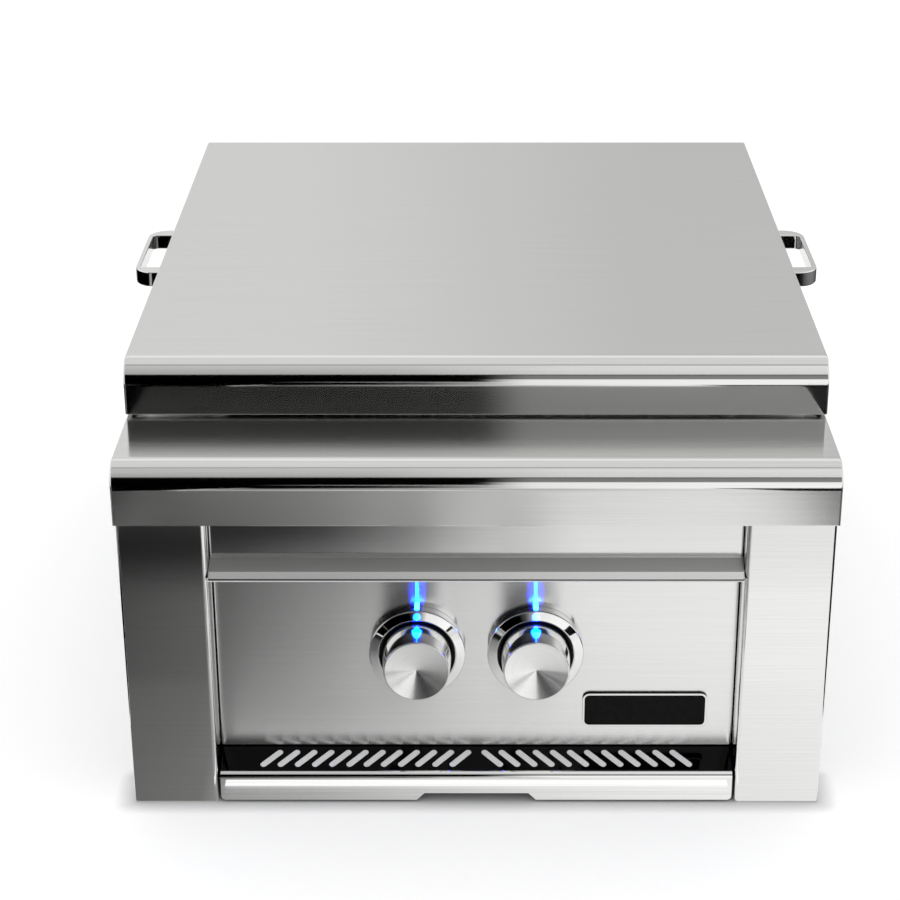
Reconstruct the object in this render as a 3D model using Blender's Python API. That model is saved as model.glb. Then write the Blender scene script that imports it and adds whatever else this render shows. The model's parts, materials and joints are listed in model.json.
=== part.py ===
"""Built-in propane power burner: counter-top frame, lift-off lid, twin brass ring burners,
two push-and-turn gas valves and a sliding drip tray.

Metres, +Z up. Seen from the front, -X is left and +Y is back. Every piece hangs from one
empty whose y = 0 is the face of the fascia, so depths below are measured from that face.
"""

import math

import bmesh
import bpy

MM = 0.001

# Sheet metal and fits
SHEET = 1.2 * MM
PANEL_SHEET = 1.5 * MM
TIGHT_BEND = 1.8 * MM
SEAT_GAP = 0.3 * MM
SIDE_GAP = 0.6 * MM
BEND_STEPS = 4
BULLNOSE_STEPS = 9
FINE_STEPS = 32
ROUND_STEPS = 28
SMALL_STEPS = 14

# Counter frame
FRAME_WIDTH = 508.0 * MM
FRAME_DEPTH = 670.0 * MM
FRAME_TOP = 273.3 * MM
COUNTER_HEIGHT = 228.6 * MM
FRAME_BULLNOSE = 17.7 * MM
FRAME_BACK_BEND = 3.0 * MM
COUNTER_FLANGE = 24.0 * MM
OPENING_WIDTH = 384.0 * MM
OPENING_DEPTH = 412.0 * MM
OPENING_CENTRE_Y = 373.0 * MM
OPENING_CORNER = 20.0 * MM

# Lid
LID_WIDTH = 509.0 * MM
LID_FRONT_Y = 88.4 * MM
LID_LENGTH = 569.6 * MM
LID_HEIGHT = 40.2 * MM
LID_FRONT_BEND = 15.4 * MM
LID_BACK_BEND = 6.0 * MM
LID_HEM = 14.0 * MM
PAD_HEIGHT = 1.4 * MM
PAD_RADIUS = 6.0 * MM
PAD_INSET = 24.0 * MM

# Lid handles
HANDLE_LENGTH = 108.4 * MM
HANDLE_REACH = 24.8 * MM
HANDLE_BAR_HEIGHT = 12.7 * MM
HANDLE_BAR_THICK = 4.0 * MM
HANDLE_LEG = 13.5 * MM
HANDLE_BEND = 17.0 * MM
HANDLE_INNER_BEND = 3.0 * MM
HANDLE_RISE = 15.1 * MM

# Wing covers
WING_HALF = 252.4 * MM
BAY_HALF = 190.0 * MM
WING_FACE_Y = 3.0 * MM
WING_DEPTH = 32.0 * MM
WING_TAB = 26.0 * MM
WING_BEND = 3.5 * MM
TUCK_UP = 7.4 * MM

# Brow above the control panel
BROW_BAND_Y = 20.0 * MM
BROW_NOSE_Y = 5.0 * MM
BROW_TOP = 240.0 * MM
BROW_LEDGE_BACK = 194.0 * MM
BROW_LEDGE_FRONT = 190.0 * MM
BROW_NOSE_BOTTOM = 184.0 * MM
BROW_BEND = 2.5 * MM

# Control panel
PANEL_Y = 30.0 * MM
PANEL_BOTTOM = 33.2 * MM
PANEL_TOP = 200.0 * MM
PANEL_RETURN = 15.0 * MM
PANEL_BEND = 2.5 * MM

# Casing under the counter
CASING_HALF = 222.0 * MM
CASING_FRONT_Y = 36.0 * MM
CASING_BACK_Y = 640.0 * MM
CASING_FLANGE = 14.0 * MM
BASE_CLEAR = 2.3 * MM
BASE_RIM = 12.0 * MM
VENT_COUNT = 7
VENT_LENGTH = 90.0 * MM
VENT_WIDTH = 8.0 * MM
VENT_PITCH = 32.0 * MM
VENT_COLUMN_X = 110.0 * MM
SHIELD_Y = 118.0 * MM
SHIELD_BOTTOM = 36.0 * MM

# Firebox pan
FIREBOX_CLEAR = 2.0 * MM
FIREBOX_FLANGE = 10.0 * MM
FIREBOX_FLOOR = 165.0 * MM
RING_CLEAR = 10.0 * MM
FIREBOX_COLLAR = 11.0 * MM

# Ring burners
BOWL_BOTTOM = 160.0 * MM
BOWL_HEIGHT = 22.0 * MM
BOWL_WALL = 3.0 * MM
OUTER_RING_RADIUS = 90.0 * MM
OUTER_RING_BORE = 52.0 * MM
INNER_RING_RADIUS = 30.0 * MM
CAP_HEIGHT = 18.0 * MM
CAP_TAPER = 6.0 * MM
CAP_WALL = 5.0 * MM
PORT_WIDTH = 2.4 * MM
PORT_HEIGHT = 7.0 * MM
OUTER_PORT_COUNT = 32
BORE_PORT_COUNT = 16
INNER_PORT_COUNT = 12
SUPPORT_WIDTH = 36.0 * MM
SUPPORT_SEAT = 25.0 * MM

# Gas valves and knobs
KNOB_X = 43.0 * MM
KNOB_Z = 114.6 * MM
KNOB_FACE_Y = -4.4 * MM
KNOB_FACE_RADIUS = 23.7 * MM
KNOB_BASE_RADIUS = 25.75 * MM
KNOB_BASE_Y = 22.0 * MM
KNOB_WALL = 3.2 * MM
KNOB_EDGE = 0.6 * MM
KNOB_HUB_RADIUS = 8.0 * MM
KNOB_CAP = 6.0 * MM
PUSH_TRAVEL = 3.0 * MM
STEM_RADIUS = 3.9 * MM
STEM_FLAT = 2.6 * MM
STEM_END_Y = 56.0 * MM
VALVE_FRONT_Y = 50.0 * MM
VALVE_LENGTH = 45.0 * MM
VALVE_HALF = 16.0 * MM
VALVE_NECK_RADIUS = 9.5 * MM
VALVE_NECK_Y = 36.0 * MM
PLUG_RADIUS = 5.7 * MM
PLUG_START_Y = 42.3 * MM
PLUG_LENGTH = 38.0 * MM
PLUG_SOCKET = 20.0 * MM
OUTLET_RADIUS = 3.2 * MM

# Bezels and their lights
BEZEL_RADIUS = 35.0 * MM
BEZEL_MOUTH = 28.35 * MM
BEZEL_SIDE = 7.7 * MM
BEZEL_RISE = 2.0 * MM
BEZEL_FLOOR = 2.5 * MM
BEZEL_HOLE = 10.0 * MM
LIGHT_WIDTH = 3.0 * MM
LIGHT_DEPTH = 5.0 * MM
LIGHT_PROUD = 0.3 * MM

# Bare plate on the control panel
PLATE_WIDTH = 92.0 * MM
PLATE_HEIGHT = 28.0 * MM
PLATE_THICK = 2.1 * MM
PLATE_CORNER = 5.0 * MM
PLATE_RIM = 1.6 * MM
PLATE_POCKET = 0.8 * MM
PLATE_X = 124.3 * MM
PLATE_Z = 64.0 * MM

# Gas train behind the panel
ORIFICE_RADIUS = 4.5 * MM
ORIFICE_HEX = 6.5 * MM
ORIFICE_BORE = 1.2 * MM
ORIFICE_HEAD = 5.7 * MM
ORIFICE_LENGTH = 16.7 * MM
SHUTTER_Y = 103.7 * MM
SHUTTER_THICK = 1.2 * MM
MIXER_RADIUS = 13.0 * MM
MIXER_HUB = 6.0 * MM
AIR_HOLES = 3
AIR_HOLE_RADIUS = 2.4 * MM
AIR_HOLE_CIRCLE = 9.4 * MM
SHUTTER_TAB = 8.0 * MM
VENTURI_WALL = 1.5 * MM
VENTURI_BEND = 32.0 * MM
MANIFOLD_RADIUS = 8.0 * MM
MANIFOLD_WALL = 2.0 * MM
MANIFOLD_Y = 80.0 * MM
MANIFOLD_DROP = 26.6 * MM
MANIFOLD_LEFT = 58.0 * MM
MANIFOLD_RIGHT = 150.0 * MM
MANIFOLD_BOSS = 7.0 * MM
PIPE_RADIUS = 6.35 * MM
PIPE_WALL = 1.2 * MM
PIPE_BEND = 25.0 * MM
INLET_HEX = 11.0 * MM
INLET_HEX_LENGTH = 9.0 * MM
INLET_RADIUS = 9.0 * MM
INLET_BORE = 5.0 * MM
INLET_LENGTH = 27.0 * MM

# Ignition
IGNITER_ANGLE = -42.0
IGNITER_RADIUS = 4.0 * MM
IGNITER_GAP = 14.0 * MM
IGNITER_LENGTH = 34.0 * MM
IGNITER_TIP = 8.0 * MM
IGNITER_Z = 192.0 * MM
BRACKET_SETBACK = 22.0 * MM
BRACKET_WIDTH = 18.0 * MM
MODULE_X = -120.0 * MM
MODULE_Z = 74.0 * MM
MODULE_SIZE = (44.0 * MM, 26.0 * MM, 40.0 * MM)
SOCKET_X = -150.0 * MM
SOCKET_Z = 60.0 * MM
SOCKET_RADIUS = 5.7 * MM
SOCKET_FLANGE = 9.0 * MM
SOCKET_BORE = 2.75 * MM

# Drip tray
TRAY_HALF = 178.0 * MM
TRAY_LENGTH = 560.0 * MM
TRAY_BOTTOM = 3.6 * MM
TRAY_RIM_Z = 23.2 * MM
TRAY_RIM = 6.5 * MM
TRAY_CORNER = 10.0 * MM
RUNNER_LEDGE = 40.3 * MM
RUNNER_FRONT_Y = 62.0 * MM
RUNNER_BOTTOM = 4.0 * MM
FRONT_HALF = 186.7 * MM
LIP_Y = 3.0 * MM
LIP_BOTTOM = 2.2 * MM
LIP_BEND = 4.0 * MM
LEDGE_BACK_Y = 30.9 * MM
LEDGE_BACK_Z = 32.6 * MM
LEDGE_SLOPE = 17.0
NOTCH_HALF = 44.0 * MM
NOTCH_HEIGHT = 5.7 * MM
SLOTS_A_SIDE = 12
SLOT_FIRST_X = 11.8 * MM
SLOT_PITCH = 12.7 * MM
SLOT_WIDTH = 5.0 * MM
SLOT_LENGTH = 15.8 * MM
SLOT_Y = 18.1 * MM

# Grates
GRATE_RIM = 8.0 * MM
GRATE_OVERLAP = 8.0 * MM
GRATE_HEIGHT = 12.0 * MM
GRATE_BAR = 7.0 * MM
GRATE_BAR_RISE = 4.0 * MM
GRATE_BAR_DROP = 2.0 * MM
GRATE_BARS = 13
GRATE_HOLE = 96.0 * MM
GRATE_RING = 7.0 * MM
GRATE_LUG = 9.0 * MM
CENTRE_CLEAR = 1.5 * MM
CENTRE_RING = 8.0 * MM
CENTRE_HUB = 24.0 * MM
CENTRE_FINGERS = 8
CENTRE_HEIGHT = 10.0 * MM

# Places that follow from the sizes above
FRAME_HALF = FRAME_WIDTH / 2
LID_HALF = LID_WIDTH / 2
LID_BOTTOM = FRAME_TOP + PAD_HEIGHT + 2 * SEAT_GAP
LID_TOP = LID_BOTTOM + LID_HEIGHT
DECK_UNDER = FRAME_TOP - SHEET
GRATE_BOTTOM = FRAME_TOP + SEAT_GAP
GRATE_TOP = GRATE_BOTTOM + GRATE_HEIGHT + GRATE_BAR_RISE
CAP_BOTTOM = BOWL_BOTTOM + BOWL_HEIGHT + SEAT_GAP
FIREBOX_HOLE = OUTER_RING_RADIUS + RING_CLEAR
SUPPORT_REACH = FIREBOX_HOLE + SUPPORT_SEAT
IGNITER_START = OUTER_RING_RADIUS + IGNITER_GAP
BRACKET_DISTANCE = IGNITER_START + BRACKET_SETBACK
VALVE_BACK_Y = VALVE_FRONT_Y + VALVE_LENGTH
ORIFICE_Y = VALVE_BACK_Y + SEAT_GAP
MIXER_Y = SHUTTER_Y + SHUTTER_THICK + SEAT_GAP
VENTURI_Y = MIXER_Y + SHUTTER_THICK + SEAT_GAP
MANIFOLD_Z = KNOB_Z - MANIFOLD_DROP
PIPE_X = MANIFOLD_RIGHT + SEAT_GAP + PIPE_BEND
CASING_IN = CASING_HALF - SHEET
BASE_HALF = CASING_IN - BASE_CLEAR


def clear_scene():
    """Remove every object that the file holds."""
    for thing in list(bpy.data.objects):
        bpy.data.objects.remove(thing, do_unlink=True)


def finish(name, colour, roughness, metallic):
    """Make a plain finish with the piece's own colour."""
    material = bpy.data.materials.new(name)
    material.use_nodes = True
    shader = material.node_tree.nodes["Principled BSDF"]
    shader.inputs["Base Color"].default_value = (*colour, 1.0)
    shader.inputs["Roughness"].default_value = roughness
    shader.inputs["Metallic"].default_value = metallic
    return material


FINISHES = {
    "brushed": ((0.62, 0.62, 0.61), 0.32, 1.0),
    "polished": ((0.70, 0.70, 0.70), 0.12, 1.0),
    "galvanised": ((0.50, 0.51, 0.52), 0.45, 1.0),
    "brass": ((0.72, 0.52, 0.24), 0.35, 1.0),
    "cast_alloy": ((0.48, 0.48, 0.49), 0.50, 1.0),
    "light": ((0.10, 0.45, 0.95), 0.20, 0.0),
    "black": ((0.03, 0.03, 0.03), 0.45, 0.0),
    "ceramic": ((0.86, 0.84, 0.78), 0.55, 0.0),
    "silicone": ((0.05, 0.05, 0.05), 0.80, 0.0),
}


class Shop:
    """Holds the datum empty and makes the pieces that hang from it."""

    def __init__(self):
        clear_scene()
        self.datum = bpy.data.objects.new("fascia_datum", None)
        self.datum.location = (0.0, -FRAME_DEPTH / 2, 0.0)
        bpy.context.scene.collection.objects.link(self.datum)

    def piece(self, name, bm, look, at=(0.0, 0.0, 0.0), turn=(0.0, 0.0, 0.0)):
        """Turn a bmesh into a named piece with its own finish."""
        bmesh.ops.recalc_face_normals(bm, faces=bm.faces)
        mesh = bpy.data.meshes.new(name)
        bm.to_mesh(mesh)
        bm.free()
        mesh.shade_smooth()
        mesh.set_sharp_from_angle(angle=math.radians(35))
        thing = bpy.data.objects.new(name, mesh)
        bpy.context.scene.collection.objects.link(thing)
        thing.parent = self.datum
        thing.location = at
        thing.rotation_euler = turn
        if look is not None:
            mesh.materials.append(finish(name + "_finish", *FINISHES[look]))
        return thing

    def tool(self, name, bm, at=(0.0, 0.0, 0.0), turn=(0.0, 0.0, 0.0)):
        """Make a cutter or a joining form that the build leaves out."""
        thing = self.piece(name, bm, None, at, turn)
        thing.hide_render = True
        thing.display_type = "WIRE"
        return thing


def change(piece, tool, operation):
    """Add a Boolean that cuts or joins a tool."""
    step = piece.modifiers.new(operation.lower(), "BOOLEAN")
    step.operation = operation
    step.object = tool
    step.solver = "EXACT"


def rounded(corners, steps=BEND_STEPS, closed=False):
    """Turn corners (u, v) or (u, v, radius) into points, each radius as an arc."""
    points = []
    count = len(corners)
    for i, corner in enumerate(corners):
        here = corner[:2]
        radius = corner[2] if len(corner) > 2 else 0.0
        if radius <= 0.0 or (not closed and i in (0, count - 1)):
            points.append(here)
            continue
        before = corners[i - 1]
        after = corners[(i + 1) % count]
        ax, ay = before[0] - here[0], before[1] - here[1]
        bx, by = after[0] - here[0], after[1] - here[1]
        la, lb = math.hypot(ax, ay), math.hypot(bx, by)
        ax, ay, bx, by = ax / la, ay / la, bx / lb, by / lb
        half = math.acos(max(-1.0, min(1.0, ax * bx + ay * by))) / 2
        room = [0.49 if len(near) > 2 else 0.98 for near in (before, after)]
        back = min(radius / math.tan(half), room[0] * la, room[1] * lb)
        arc = back * math.tan(half)
        mx, my = ax + bx, ay + by
        lm = math.hypot(mx, my)
        reach = arc / math.sin(half)
        cx, cy = here[0] + mx / lm * reach, here[1] + my / lm * reach
        start = math.atan2(here[1] + ay * back - cy, here[0] + ax * back - cx)
        end = math.atan2(here[1] + by * back - cy, here[0] + bx * back - cx)
        sweep = (end - start + math.pi) % (2 * math.pi) - math.pi
        for k in range(steps + 1):
            angle = start + sweep * k / steps
            points.append((cx + arc * math.cos(angle), cy + arc * math.sin(angle)))
    return points


def offset(points, distance):
    """Move an open path sideways, to its left for a positive distance."""
    moved = []
    for i, (u, v) in enumerate(points):
        normals = []
        for a, b in ((i - 1, i), (i, i + 1)):
            if a < 0 or b >= len(points):
                continue
            du, dv = points[b][0] - points[a][0], points[b][1] - points[a][1]
            length = math.hypot(du, dv)
            normals.append((-dv / length, du / length))
        nu = sum(n[0] for n in normals)
        nv = sum(n[1] for n in normals)
        share = 2.0 * distance / (nu * nu + nv * nv) if len(normals) == 2 else distance
        moved.append((u + nu * share, v + nv * share))
    return moved


def sheet(corners, thickness, steps=BEND_STEPS):
    """Outline of a bent sheet whose seen face follows the corners."""
    path = rounded(corners, steps)
    return path + offset(path, thickness)[::-1]


def rectangle(width, depth, radius, centre=(0.0, 0.0), steps=BEND_STEPS):
    """Outline of a rectangle with round corners, counter-clockwise."""
    cx, cy = centre
    corners = []
    for sx, sy in ((-1, -1), (1, -1), (1, 1), (-1, 1)):
        corners.append((cx + sx * width / 2, cy + sy * depth / 2, radius))
    return rounded(corners, steps, closed=True)


def place(axis, point, height):
    """Put an outline point (u, v) at a height along an axis."""
    u, v = point
    return {"X": (height, u, v), "Y": (u, height, v), "Z": (u, v, height)}[axis]


def prism(outline, axis, start, end):
    """Extrude a closed outline along an axis."""
    bm = bmesh.new()
    add_prism(bm, outline, axis, start, end)
    return bm


def add_prism(bm, outline, axis, start, end):
    """Extrude one more closed outline into a bmesh."""
    corners = [bm.verts.new(place(axis, point, start)) for point in outline]
    face = bm.faces.new(corners)
    grown = bmesh.ops.extrude_face_region(bm, geom=[face])
    tops = [item for item in grown["geom"] if isinstance(item, bmesh.types.BMVert)]
    step = place(axis, (0.0, 0.0), end - start)
    bmesh.ops.translate(bm, verts=tops, vec=step)


def block(low, high):
    """A plain box between two corners."""
    outline = [(low[0], low[1]), (high[0], low[1]), (high[0], high[1]), (low[0], high[1])]
    return prism(outline, "Z", low[2], high[2])


def loft(loops):
    """Join loops of points one to the next, and close the first and the last."""
    bm = bmesh.new()
    rows = [[bm.verts.new(point) for point in loop] for loop in loops]
    count = len(rows[0])
    for low, high in zip(rows, rows[1:]):
        for i in range(count):
            j = (i + 1) % count
            bm.faces.new((low[i], low[j], high[j], high[i]))
    bm.faces.new(rows[0])
    bm.faces.new(rows[-1])
    return bm


def turned(profile, axis="Y", steps=ROUND_STEPS):
    """Spin a closed profile of (radius, height) once round an axis through the origin."""
    bm = bmesh.new()
    if axis == "X":
        points = [(height, radius, 0.0) for radius, height in profile]
    elif axis == "Y":
        points = [(radius, height, 0.0) for radius, height in profile]
    else:
        points = [(radius, 0.0, height) for radius, height in profile]
    corners = [bm.verts.new(point) for point in points]
    edges = [bm.edges.new((a, b)) for a, b in zip(corners, corners[1:] + corners[:1])]
    spin_axis = {"X": (1, 0, 0), "Y": (0, 1, 0), "Z": (0, 0, 1)}[axis]
    bmesh.ops.spin(bm, geom=corners + edges, cent=(0, 0, 0), axis=spin_axis,
                   angle=2 * math.pi, steps=steps, use_duplicate=False)
    bmesh.ops.remove_doubles(bm, verts=bm.verts, dist=1e-6)
    bmesh.ops.dissolve_degenerate(bm, dist=1e-7, edges=bm.edges)
    return bm


def rod(radius, start, end, axis="Y", steps=SMALL_STEPS):
    """A plain round bar along an axis through the origin."""
    return turned([(0.0, start), (radius, start), (radius, end), (0.0, end)], axis, steps)


def circle(radius, centre, steps=SMALL_STEPS):
    """Outline of a circle."""
    turns = [2 * math.pi * k / steps for k in range(steps)]
    return [(centre[0] + radius * math.cos(a), centre[1] + radius * math.sin(a)) for a in turns]


def obround(centre, length, width, angle, steps=3):
    """Outline of a slot with round ends: length is between the end centres."""
    points = []
    for side in (0, 1):
        heading = angle + math.pi * side
        ex = centre[0] + math.cos(heading) * length / 2
        ey = centre[1] + math.sin(heading) * length / 2
        for k in range(steps + 1):
            a = heading - math.pi / 2 + math.pi * k / steps
            points.append((ex + width / 2 * math.cos(a), ey + width / 2 * math.sin(a)))
    return points


def pipe(shop, name, points, radius, wall, look, bend):
    """A tube with a wall along a path of straight runs and round bends."""
    curve = bpy.data.curves.new(name + "_path", "CURVE")
    curve.dimensions = "3D"
    curve.bevel_depth = radius
    curve.bevel_resolution = 2
    curve.use_fill_caps = False
    route = smooth_route(points, bend)
    spline = curve.splines.new("POLY")
    spline.points.add(len(route) - 1)
    for knot, point in zip(spline.points, route):
        knot.co = (*point, 1.0)
    guide = bpy.data.objects.new(name + "_guide", curve)
    bpy.context.scene.collection.objects.link(guide)
    seen = guide.evaluated_get(bpy.context.evaluated_depsgraph_get())
    bm = bmesh.new()
    bm.from_mesh(bpy.data.meshes.new_from_object(seen))
    bmesh.ops.remove_doubles(bm, verts=bm.verts, dist=1e-6)
    bpy.data.objects.remove(guide, do_unlink=True)
    tube = shop.piece(name, bm, look)
    wall_step = tube.modifiers.new("wall", "SOLIDIFY")
    wall_step.thickness = wall
    wall_step.offset = -1.0
    return tube


def smooth_route(points, bend, steps=4):
    """Round the inner corners of a 3-D path with arcs of one radius."""
    route = [points[0]]
    for before, here, after in zip(points, points[1:], points[2:]):
        a = [p - q for p, q in zip(before, here)]
        b = [p - q for p, q in zip(after, here)]
        la, lb = math.hypot(*a), math.hypot(*b)
        a = [p / la for p in a]
        b = [p / lb for p in b]
        half = math.acos(max(-1.0, min(1.0, sum(p * q for p, q in zip(a, b))))) / 2
        back = min(bend / math.tan(half), 0.49 * la, 0.49 * lb)
        radius = back * math.tan(half)
        middle = [p + q for p, q in zip(a, b)]
        lm = math.hypot(*middle)
        centre = [p + q / lm * radius / math.sin(half) for p, q in zip(here, middle)]
        start = [p + q * back - c for p, q, c in zip(here, a, centre)]
        end = [p + q * back - c for p, q, c in zip(here, b, centre)]
        sweep = math.pi - 2 * half
        for k in range(steps + 1):
            t = sweep * k / steps
            fa = math.sin(sweep - t) / math.sin(sweep)
            fb = math.sin(t) / math.sin(sweep)
            route.append(tuple(c + fa * p + fb * q for c, p, q in zip(centre, start, end)))
    route.append(points[-1])
    return route


def hood(shop, name, half, front, back, bottom, top, front_bend, back_bend, hem):
    """A shallow cover open below: side profile drawn across, hollowed, with a turned-in hem."""
    outer = rounded([(front, bottom), (front, top, front_bend), (back, top, back_bend),
                     (back, bottom)], BULLNOSE_STEPS)
    shell = shop.piece(name, prism(outer, "X", -half, half), "brushed")
    low, high = bottom + SHEET, top - SHEET
    inner = rounded([(front + SHEET, low), (front + SHEET, high, front_bend - SHEET),
                     (back - SHEET, high, back_bend - SHEET), (back - SHEET, low)],
                    BULLNOSE_STEPS)
    hollow = prism(inner, "X", SHEET - half, half - SHEET)
    change(shell, shop.tool(name + "_hollow", hollow), "DIFFERENCE")
    mouth = prism(hem, "Z", bottom - 5 * SHEET, bottom + 2 * SHEET)
    change(shell, shop.tool(name + "_mouth", mouth), "DIFFERENCE")
    return shell


def top_frame(shop):
    """Counter frame: bullnosed fascia, deck with the grate opening, and the counter flange."""
    inside = FRAME_HALF - SHEET
    seat = FRAME_HALF - COUNTER_FLANGE
    back = FRAME_DEPTH - COUNTER_FLANGE
    bay = WING_FACE_Y + WING_DEPTH + 2 * SHEET
    hem = [(-inside, SHEET), (inside, SHEET), (inside, bay), (seat, bay), (seat, back),
           (-seat, back), (-seat, bay), (-inside, bay)]
    frame = hood(shop, "top_frame", FRAME_HALF, 0.0, FRAME_DEPTH, COUNTER_HEIGHT, FRAME_TOP,
                 FRAME_BULLNOSE, FRAME_BACK_BEND, hem)
    opening = rectangle(OPENING_WIDTH, OPENING_DEPTH, OPENING_CORNER, (0.0, OPENING_CENTRE_Y))
    hole = prism(opening, "Z", DECK_UNDER - SHEET, FRAME_TOP + SHEET)
    change(frame, shop.tool("deck_opening", hole), "DIFFERENCE")


def lid(shop):
    """Lift-off lid with its hem, four silicone pads and two bent-bar handles."""
    back = LID_FRONT_Y + LID_LENGTH
    edge = LID_HALF - LID_HEM
    hem = [(-edge, LID_FRONT_Y + LID_HEM), (edge, LID_FRONT_Y + LID_HEM),
           (edge, back - LID_HEM), (-edge, back - LID_HEM)]
    hood(shop, "lid_shell", LID_HALF, LID_FRONT_Y, back, LID_BOTTOM, LID_TOP,
         LID_FRONT_BEND, LID_BACK_BEND, hem)
    for side, s in (("left", -1), ("right", 1)):
        for end, y in (("front", LID_FRONT_Y + PAD_INSET), ("rear", back - PAD_INSET)):
            x = s * (LID_HALF - LID_HEM / 2 - SHEET / 2)
            pad = rod(PAD_RADIUS, 0.0, PAD_HEIGHT, "Z")
            shop.piece(f"lid_pad_{end}_{side}", pad, "silicone", (x, y, FRAME_TOP + SEAT_GAP))
        middle = LID_FRONT_Y + LID_LENGTH / 2
        root = s * (LID_HALF + SEAT_GAP)
        tip = s * (LID_HALF + HANDLE_REACH)
        near, far = middle - HANDLE_LENGTH / 2, middle + HANDLE_LENGTH / 2
        grip = tip - s * HANDLE_BAR_THICK
        bar = rounded([(root, near), (tip, near, HANDLE_BEND), (tip, far, HANDLE_BEND),
                       (root, far), (root, far - HANDLE_LEG),
                       (grip, far - HANDLE_LEG, HANDLE_INNER_BEND),
                       (grip, near + HANDLE_LEG, HANDLE_INNER_BEND),
                       (root, near + HANDLE_LEG)], 5)
        low = LID_BOTTOM + HANDLE_RISE
        shop.piece(f"{side}_lid_handle", prism(bar, "Z", low, low + HANDLE_BAR_HEIGHT), "polished")


def wings(shop):
    """Channel-shaped covers each side of the control bay, tucked up behind the fascia."""
    for side, s in (("left", -1), ("right", 1)):
        tab = s * (CASING_IN - SIDE_GAP - SHEET)
        back = WING_FACE_Y + WING_DEPTH
        outline = sheet([(tab, back + WING_TAB), (tab, back, WING_BEND / 2), (s * BAY_HALF, back),
                         (s * BAY_HALF, WING_FACE_Y, WING_BEND),
                         (s * WING_HALF, WING_FACE_Y, WING_BEND / 2), (s * WING_HALF, back)],
                        s * SHEET)
        cover = prism(outline, "Z", 0.0, COUNTER_HEIGHT + TUCK_UP)
        shop.piece(f"{side}_wing_cover", cover, "brushed")


def front_panels(shop):
    """Brow and control panel, with the stem holes."""
    brow = sheet([(BROW_BAND_Y, BROW_TOP), (BROW_BAND_Y, BROW_LEDGE_BACK, BROW_BEND),
                  (BROW_NOSE_Y, BROW_LEDGE_FRONT, BROW_BEND),
                  (BROW_NOSE_Y, BROW_NOSE_BOTTOM, BROW_BEND / 2),
                  (PANEL_Y - SIDE_GAP, BROW_NOSE_BOTTOM)], SHEET)
    half = BAY_HALF - SIDE_GAP
    shop.piece("panel_brow", prism(brow, "X", -half, half), "brushed")
    end = PANEL_Y + PANEL_RETURN
    panel = sheet([(-half, end), (-half, PANEL_Y, PANEL_BEND), (half, PANEL_Y, PANEL_BEND),
                   (half, end)], PANEL_SHEET)
    face = shop.piece("control_panel", prism(panel, "Z", PANEL_BOTTOM, PANEL_TOP), "brushed")
    bm = bmesh.new()
    for s in (-1, 1):
        hole = circle(BEZEL_HOLE, (s * KNOB_X, KNOB_Z))
        add_prism(bm, hole, "Y", PANEL_Y - PANEL_SHEET, PANEL_Y + 2 * PANEL_SHEET)
    change(face, shop.tool("stem_holes", bm), "DIFFERENCE")


def bare_plate(shop):
    """Bare oblong plate with a raised rim and a sunk field."""
    front = PANEL_Y - SEAT_GAP - PLATE_THICK
    field = front + PLATE_POCKET
    centre = (PLATE_X, PLATE_Z)
    outer = rectangle(PLATE_WIDTH, PLATE_HEIGHT, PLATE_CORNER, centre)
    inner = rectangle(PLATE_WIDTH - 2 * PLATE_RIM, PLATE_HEIGHT - 2 * PLATE_RIM,
                      PLATE_CORNER - PLATE_RIM, centre)
    loops = []
    for outline, depth in ((outer, front + PLATE_THICK), (outer, front), (inner, front),
                           (inner, field)):
        loops.append([place("Y", point, depth) for point in outline])
    shop.piece("bare_plate", loft(loops), "black")


def casing(shop):
    """Side and back sheets that hang through the counter, and the vented base."""
    top = DECK_UNDER - SEAT_GAP
    for side, s in (("left", -1), ("right", 1)):
        outline = sheet([(s * CASING_HALF, 0.0), (s * CASING_HALF, top - SHEET, TIGHT_BEND),
                         (s * (CASING_HALF + CASING_FLANGE), top - SHEET)], s * SHEET)
        wall = prism(outline, "Y", CASING_FRONT_Y, CASING_BACK_Y)
        shop.piece(f"casing_{side}_side", wall, "galvanised")
    half = CASING_IN - SIDE_GAP
    outline = sheet([(CASING_BACK_Y, 0.0), (CASING_BACK_Y, top, TIGHT_BEND),
                     (CASING_BACK_Y - CASING_FLANGE, top)], SHEET)
    back = shop.piece("casing_back", prism(outline, "X", -half, half), "galvanised")
    bm = bmesh.new()
    start, end = CASING_BACK_Y - 2 * SHEET, CASING_BACK_Y + SHEET
    add_prism(bm, circle(PIPE_RADIUS + SIDE_GAP, (PIPE_X, MANIFOLD_Z)), "Y", start, end)
    add_prism(bm, circle(SOCKET_RADIUS + SEAT_GAP, (SOCKET_X, SOCKET_Z)), "Y", start, end)
    change(back, shop.tool("back_holes", bm), "DIFFERENCE")
    base_pan(shop)
    shield = [(-half, SHIELD_BOTTOM), (half, SHIELD_BOTTOM), (half, top), (-half, top)]
    wall = shop.piece("heat_shield", prism(shield, "Y", SHIELD_Y, SHIELD_Y + SHEET), "galvanised")
    bm = bmesh.new()
    start, end = SHIELD_Y - SHEET, SHIELD_Y + 2 * SHEET
    for s in (-1, 1):
        hole = circle(MIXER_RADIUS + SIDE_GAP, (s * KNOB_X, KNOB_Z))
        add_prism(bm, hole, "Y", start, end)
    add_prism(bm, circle(PIPE_RADIUS + SIDE_GAP, (PIPE_X, MANIFOLD_Z)), "Y", start, end)
    change(wall, shop.tool("shield_holes", bm), "DIFFERENCE")


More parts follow.
